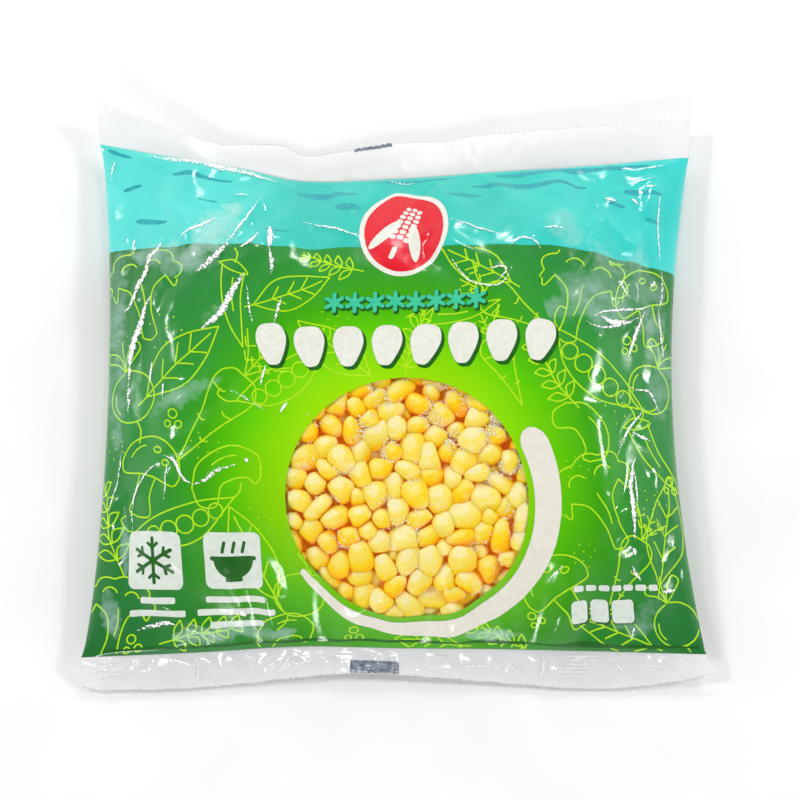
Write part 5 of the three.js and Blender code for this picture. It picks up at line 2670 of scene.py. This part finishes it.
    def build(self, skin: FilmSkin) -> None:
        """Lays the whole print on the film.

        Args:
            skin: The film.
        """
        LineArt(self.drawings(), self.inks.line).build(skin, self.allowed())
        patches = [self.swoosh(), *self.strokes(), *self.title(), *self.badge()]
        for patch in (*patches, *self.signs(), *self.weight_bars(), self.seal_shadow_line()):
            patch.build(skin)


def marks(*rows: tuple[Path, float, float]) -> tuple[WhiteFold, ...]:
    """Lists white marks from their middle lines, widths and strengths."""
    return tuple(WhiteFold(*row) for row in rows)


FOLDS: tuple[Crease, ...] = (
    Crease(((-96, 148.5), (-94, 127), (-98, 99), (-95, 69.5)), 1.0, 2.2),
    Crease(((-104, 174.5), (-100, 149), (-103, 119)), 0.6, 1.8),
    Crease(((-38, 169.5), (-48, 150.5), (-60, 134), (-70, 126.5)), 1.1, 2.6),
    Crease(((-46, 174.5), (-60, 158), (-72, 148)), 0.8, 2.4),
    Crease(((-76, 138.5), (-84, 124.5), (-88, 107)), -0.7, 1.8),
    Crease(((-88, 81), (-76, 88), (-63, 97.5)), 1.0, 3.0),
    Crease(((-84, 77), (-74, 83), (-60, 92.5)), -0.8, 2.2),
    Crease(((-70, 77), (-82, 65), (-86, 54)), -0.6, 2.0),
    Crease(((84, 175), (90, 149), (92, 119.5), (88, 95.5)), 0.9, 2.4),
    Crease(((98, 181), (97, 149), (100, 117.5), (98, 91.5)), 1.0, 2.0),
    Crease(((60, 123), (76, 117.5), (92, 121)), 0.9, 2.4), Crease(((50, 149), (64, 157), (70, 171)), 0.7, 2.6),
    Crease(((92, 83.5), (100, 60), (106, 40)), 0.8, 1.7), Crease(((94, 24), (100, 28), (108, 32)), -0.7, 1.5),
    Crease(((-106, 60), (-100, 36), (-104, 14)), 0.7, 1.6),
)

# White fold lines: partly stress whitening, partly painted highlights for the folds' glints.
WHITE_FOLDS = marks(
    (((-65.5, 159), (-71.5, 154), (-78, 149)), 1.2, 1.0),
    (((-50.5, 169.5), (-54.5, 160), (-58.5, 152), (-62, 145.5)), 0.9, 0.9),
    (((-60, 148), (-66, 140), (-71.5, 135)), 2.8, 0.8),
    (((-49.5, 154), (-52.5, 148.5), (-56, 145.5)), 1.2, 1.0),
    (((-45.5, 157), (-45, 152), (-45, 147.5)), 2.6, 1.0),
    (((-45, 147.5), (-43.5, 142.5), (-43.5, 137)), 1.8, 0.8),
    (((-86, 149.5), (-86.5, 144), (-90.5, 141.5), (-91, 135),
      (-94, 129.5), (-96, 123), (-102.5, 120.5)), 2.2, 0.9),
    (((-88, 126), (-91, 120.5), (-92.5, 115.5), (-95.5, 110.5), (-97, 103.5), (-97.5, 95.5)), 2.6, 0.95),
    (((-87.5, 102.5), (-88, 95)), 1.4, 0.9),
    (((-82.5, 95.5), (-82, 89)), 1.1, 0.85),
    (((-53.5, 136), (-57, 130.5), (-59.5, 124), (-62, 119.5), (-68.5, 114.5)), 3.0, 0.85),
    (((-39.5, 129), (-40.5, 124), (-42, 117.5)), 1.3, 0.8),
    (((-44.5, 103), (-46.5, 95.5)), 0.9, 0.85),
    (((-58, 93.5), (-51.5, 90.5), (-45, 87)), 0.8, 0.75),
    (((-36.5, 90), (-39, 86.5)), 1.4, 0.95),
    (((-52.5, 132), (-51, 122.5), (-49.5, 117)), 0.9, 0.75),
    (((-97, 148.5), (-98.5, 144)), 1.2, 0.95),
    (((-106.5, 179.5), (-108, 171.5)), 0.9, 0.75),
    (((-93, 183.6), (-81, 183.2), (-68, 183.6), (-56.5, 183), (-45, 180.5)), 3.4, 0.8),
    (((-60.5, 171), (-55, 171.5)), 0.9, 0.85),
    (((-81, 69.5), (-76.5, 68), (-74, 61.5), (-70, 59.5)), 1.2, 1.0),
    (((-70, 59.5), (-65, 62), (-61, 65), (-55, 67)), 2.2, 0.62),
    (((-83, 67), (-86.5, 65), (-90.5, 60), (-94, 54), (-94.5, 48), (-94, 43)), 1.0, 0.85),
    (((-79.5, 69), (-80, 61.5), (-80.5, 54)), 0.8, 0.8),
    (((-99.5, 75.5), (-100.5, 68), (-101.5, 61), (-104, 50)), 0.8, 0.75),
    (((-97, 34.5), (-100, 31)), 0.9, 0.85),
    (((-52, 69.5), (-50.5, 68)), 1.3, 0.85),
    (((-92.5, 9), (-87, 10.5), (-82, 12), (-79, 11)), 2.0, 0.8),
    (((-55.5, 15.5), (-54, 13)), 2.2, 0.9),
    (((-97.5, 96), (-97.5, 84.5)), 2.0, 0.65),
    (((73, 119.5), (78, 121.5), (84.5, 122.5), (90.5, 123), (96, 125)), 1.1, 0.9),
    (((69.5, 118), (76, 115), (84, 117), (92, 120.5)), 1.1, 0.85),
    (((76, 119.5), (80, 117), (85.5, 118.5)), 2.4, 1.0),
    (((94.5, 123.5), (91.5, 116.5), (87.5, 105.5)), 1.7, 0.9),
    (((101, 125.5), (101.5, 118), (104, 107)), 1.3, 0.9),
    (((101, 170.5), (99.5, 159.5), (100.5, 142.5)), 0.9, 0.85),
    (((101, 139.5), (102.5, 129), (101.5, 125)), 1.6, 0.65),
    (((77.5, 168.5), (82.5, 166.5)), 1.8, 0.9),
    (((88.5, 168.5), (91.5, 165.5)), 1.4, 0.9),
    (((91.5, 181.5), (102, 183)), 0.9, 0.75),
    (((89, 175.5), (99, 178)), 0.8, 0.7),
    (((95, 173.5), (99, 173.5)), 1.2, 0.85),
    (((87.5, 95), (92, 94), (97, 94.5), (101.5, 85.5)), 0.9, 0.85),
    (((94.5, 88), (91.5, 84.5), (87, 80), (84, 74.5), (81.5, 70)), 0.9, 0.9),
    (((88.5, 79), (93.5, 76.5), (96, 76)), 1.1, 0.85),
    (((89.5, 70), (87, 64.5), (86, 55.5), (86, 49.5), (86.5, 40.5)), 1.8, 0.95),
    (((88, 67.5), (88.6, 60), (87.6, 52)), 0.9, 0.85),
    (((86, 38), (86, 35.5)), 1.8, 0.9),
    (((84.5, 32), (88, 26.5)), 1.5, 0.8),
    (((59, 33), (52.5, 26.5)), 0.8, 0.75),
    (((96.5, 22.5), (102.5, 23)), 1.8, 0.8),
    (((85, 10.5), (82.5, 5)), 1.0, 0.75),
    (((-34, 162), (-24, 159.5), (-16, 154.5), (-12, 155)), 0.8, 0.85),
    (((20, 159), (28.5, 156), (38, 151.5)), 0.8, 0.85),
    (((41.5, 146), (45.5, 150.5), (51.5, 148.5), (53.5, 144.5)), 0.9, 0.85),
    (((54, 153), (61, 153)), 0.9, 0.75),
    (((21, 143), (25, 137), (29.5, 132.5), (39.5, 130.5), (43, 138.5)), 0.8, 0.75),
    (((33.5, 138), (42.5, 138.5), (38, 133)), 0.9, 0.85),
    (((-4, 183.5), (2, 181.5), (6.5, 182.5)), 1.0, 0.7),
)

# Painted sheen: patches of painted reflected light on the film.
SHEEN_PATCHES = marks(
    (((-73, 141), (-66, 152), (-58, 166.5)), 18, 0.62),
    (((55, 161), (62, 154), (67, 147)), 15, 0.38),
    (((56, 121), (82, 132), (104, 129)), 36, 0.42),
    (((90, 129), (102, 111.5), (101, 83.5)), 20, 0.34),
    (((-103, 147), (-105, 119), (-103, 71.5)), 15, 0.4),
    (((-98, 142), (-80, 140.5), (-62, 139)), 13, 0.56),
    (((-88, 83), (-74, 91), (-60, 97.5)), 8, 0.34),
    (((-80, 6.5), (-60, 8), (-48, 9)), 9, 0.5),
    (((-54, 6), (-36, 7)), 6, 0.45),
    (((22, 6), (44, 6)), 6, 0.5),
    (((-98, 52), (-97, 28)), 5, 0.38),
    (((76, 10), (90, 12), (98, 24)), 12, 0.32),
    (((-104, 24), (-100, 6)), 8, 0.42),
)

# Fin scuffs: partly real scuffing, partly painted highlights for glints on the crimped fin.
FIN_SCUFFS_AND_GLINTS = marks(
    *((((54.5, 2.2 + 1.5 * k), (61, 2.4 + 1.5 * k), (68.5, 2.1 + 1.5 * k)), 0.7, 0.9) for k in range(6)),
    (((49.5, 2), (50.5, 6), (49, 11)), 2.2, 0.85), (((73, 2), (77, 6), (80.5, 10)), 0.8, 0.85),
    (((38, 6), (40.5, 9)), 2.0, 0.7), (((-111, 5), (-104, 3.6), (-97, 3.4)), 0.8, 0.75),
    (((-111, 7.4), (-104, 6.2), (-96, 6.6)), 0.9, 0.7), (((-107, 9.4), (-99, 8.2), (-93, 9)), 1.2, 0.65),
    (((-80, 1.4), (-79, 4.6)), 1.6, 0.9), (((-71, 2), (-70.4, 7), (-71, 12)), 1.2, 0.8),
    (((-55, 0.8), (-54, 3), (-50, 4)), 1.6, 0.8), (((-38, 5), (-36, 7), (-33, 6)), 1.6, 0.75),
    (((10, 3), (22, 3.6)), 1.0, 0.65), (((20, 6.5), (34, 7)), 0.9, 0.7), (((84, 5), (98, 6)), 1.2, 0.6)
)

# Partly real stress whitening and partly painted highlights that stand in for glints on folds.
WHITENING_AND_GLINT = WearAndSheenPolyethylene("stress_whitened_polyethylene", "#ffffff", 0.8, 0.85, 4.0)
# Painted sheen: a milky cyan-white veil of painted reflected light.
PAINTED_SHEEN = WearAndSheenPolyethylene("chafed_polyethylene", "#dcfff8", 9.0, 0.3, 0.8, 0.4)


@dataclass
class VegetableBag:
    """The whole bag: film, fins, seam, print and corn.

    Attributes:
        form: Its form.
        crumple: What makes the film uneven.
        step: Size of the film lattice's steps.
    """

    form: BagForm = field(default_factory=BagForm)
    crumple: Crumple = field(
        default_factory=lambda: Crumple((*FOLDS, *(mark.crease() for mark in WHITE_FOLDS)))
    )
    step: float = 0.9
    window_finish: ClearPolyethylene = ClearPolyethylene(
        "clear_window_polyethylene", "#ffffff", "#f4f4f0", 0.003, 0.1, 5.0, 0.006
    )
    top_finish: ClearPolyethylene = ClearPolyethylene(
        "smooth_sealed_clear_polyethylene", "#ffffff", "#fdfdfe", 0.5, 0.3, 9.0
    )
    bottom_finish: ClearPolyethylene = ClearPolyethylene(
        "crimp_sealed_clear_polyethylene", "#ffffff", "#f8fafc", 0.58, 0.14, 3.2
    )

    def build(self) -> None:
        """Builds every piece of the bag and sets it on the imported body."""
        skin = FilmSkin(self.form, self.crumple, self.step)
        design = FrontPrint()
        tube = PrintedTube(design.window())
        front, window, back = tube.build(skin, self.window_finish.material())
        finish_piece(front, Slot.PRINTED, "film_bag")
        finish_piece(window, Slot.CLEAR)
        finish_piece(back, Slot.PRINTED)
        finish_piece(BackSeam().build(self.form, tube), Slot.PRINTED)
        top = CrimpedFin(End.TOP, 31, 12, 0.25, rib_height=0.0)
        bottom = CrimpedFin(End.BOTTOM, 32, 110, 0.5, rib_pitch=1.4, rib_height=0.06)
        for fin, finish, low, high in (
            (top, self.top_finish, (-17, 0.9), (-3, 0.995)),
            (bottom, self.bottom_finish, (-17.4, 0.5), (-0.4, 0.97)),
        ):
            finish_piece(fin.build(self.form, finish.material()), Slot.CLEAR)
            finish_piece(fin.mark(self.form, low, high, design.inks.mark), Slot.PRINTED)
        design.build(skin)
        # Painted light: fold lines and fin scuffs are partly whitening from handling and partly painted glints;
        # the sheen patches are painted reflections.
        FilmWearAndSheen("white_fold_lines", WHITE_FOLDS, WHITENING_AND_GLINT).build(skin.sample)
        FilmWearAndSheen("chafed_patches", SHEEN_PATCHES, PAINTED_SHEEN, layer=5).build(skin.sample)
        scuffs = FilmWearAndSheen("bottom_fin_scuffs", FIN_SCUFFS_AND_GLINTS, WHITENING_AND_GLINT, turned=True)
        scuffs.build(bottom.place(self.form))
        kernels, frost, core = CornHeap().build(skin)
        finish_piece(kernels, Slot.CORN, "corn_heap")
        finish_piece(frost, Slot.CORN)
        finish_piece(core, Slot.CORN)


@dataclass(frozen=True)
class Lamp:
    """One soft light.

    Attributes:
        name: Its name.
        place: Where it stands, in metres.
        size: Its two sides, in metres.
        power: Its power in watts.
        colour: Its colour as an sRGB hex value.
    """

    name: str
    place: tuple[float, float, float]
    size: Pair
    power: float
    colour: str = "#ffffff"

    def light(self) -> None:
        """Sets up the light, aimed at the bag."""
        data = bpy.data.lights.new(self.name, "AREA")
        data.shape = "RECTANGLE"
        data.size, data.size_y = self.size
        data.energy = self.power
        data.color = linear(self.colour)[:3]
        lamp = bpy.data.objects.new(self.name, data)
        lamp.location = self.place
        lamp.rotation_mode = "QUATERNION"
        lamp.rotation_quaternion = (Vector((0, 0, 0.01)) - Vector(self.place)).to_track_quat("-Z", "Y")
        bpy.context.scene.collection.objects.link(lamp)


@dataclass(frozen=True)
class Studio:
    """The pale floor, the lights and the camera over the bag."""

    elevation: float = 78.0
    distance: float = 0.640
    target: tuple[float, float, float] = (0.0, -0.004, 0.010)
    lens: float = 80.4
    sensor: float = 36.0
    zenith: float = 0.13
    horizon: float = 1.25
    lamps: tuple[Lamp, ...] = (
        Lamp("left_softbox", (-0.92, 0.42, 0.95), (0.15, 0.2), 5.0),
        Lamp("right_softbox", (0.95, 0.2, 0.9), (0.15, 0.2), 4.2),
        Lamp("back_softbox", (0.15, 1.1, 0.85), (0.24, 0.12), 3.2),
        Lamp("front_softbox", (-0.25, -0.95, 0.75), (0.24, 0.12), 2.2),
    )

    def build(self) -> None:
        """Sets up floor, lights and camera, and shows the inks' colours as they are."""
        bpy.context.scene.view_settings.view_transform = "Standard"
        self.floor()
        for lamp in self.lamps:
            lamp.light()
        self.world()
        self.camera()

    def floor(self) -> None:
        """Lays the floor as a sheet that dips nowhere and ends far outside the view."""
        span = np.linspace(-2500, 2500, 21)
        x, y = np.meshgrid(span, span, indexing="ij")
        points = np.stack([x, y, 0 * x - 0.05], -1).reshape(-1, 3)
        card = add_mesh("studio_floor", points, lattice_faces(21, 21), StudioCard().material())

    def world(self) -> None:
        """Sets the even light from all round, brighter towards the horizon than overhead."""
        world = bpy.data.worlds.new("studio_surround")
        world.use_nodes = True
        tree = world.node_tree
        tree.nodes.clear()
        node = partial(add_node, tree)
        up = node("SeparateXYZ", [node("TexCoord").outputs["Generated"]]).outputs["Z"]
        strength = node("MapRange", [up, 0.2, 0.9, self.horizon, self.zenith])
        node("OutputWorld", [node("Background", {"Color": "#ffffff", "Strength": strength})])
        bpy.context.scene.world = world

    def camera(self) -> None:
        """Sets up the camera as the photograph was taken."""
        rise = math.radians(self.elevation)
        target = Vector(self.target)
        away = Vector((0, -math.cos(rise), math.sin(rise)))
        data = bpy.data.cameras.new("camera")
        data.lens = self.lens
        data.sensor_width = self.sensor
        camera = bpy.data.objects.new("camera", data)
        camera.location = target + away * self.distance
        camera.rotation_mode = "QUATERNION"
        camera.rotation_quaternion = (-away).to_track_quat("-Z", "Y")
        bpy.context.scene.collection.objects.link(camera)
        bpy.context.scene.camera = camera


def main() -> None:
    """Builds the bag and the studio, and reports each piece."""
    logging.basicConfig(level=logging.INFO, format="%(name)s %(message)s")
    VegetableBag().build()
    Studio().build()


if __name__ == "__main__":
    main()
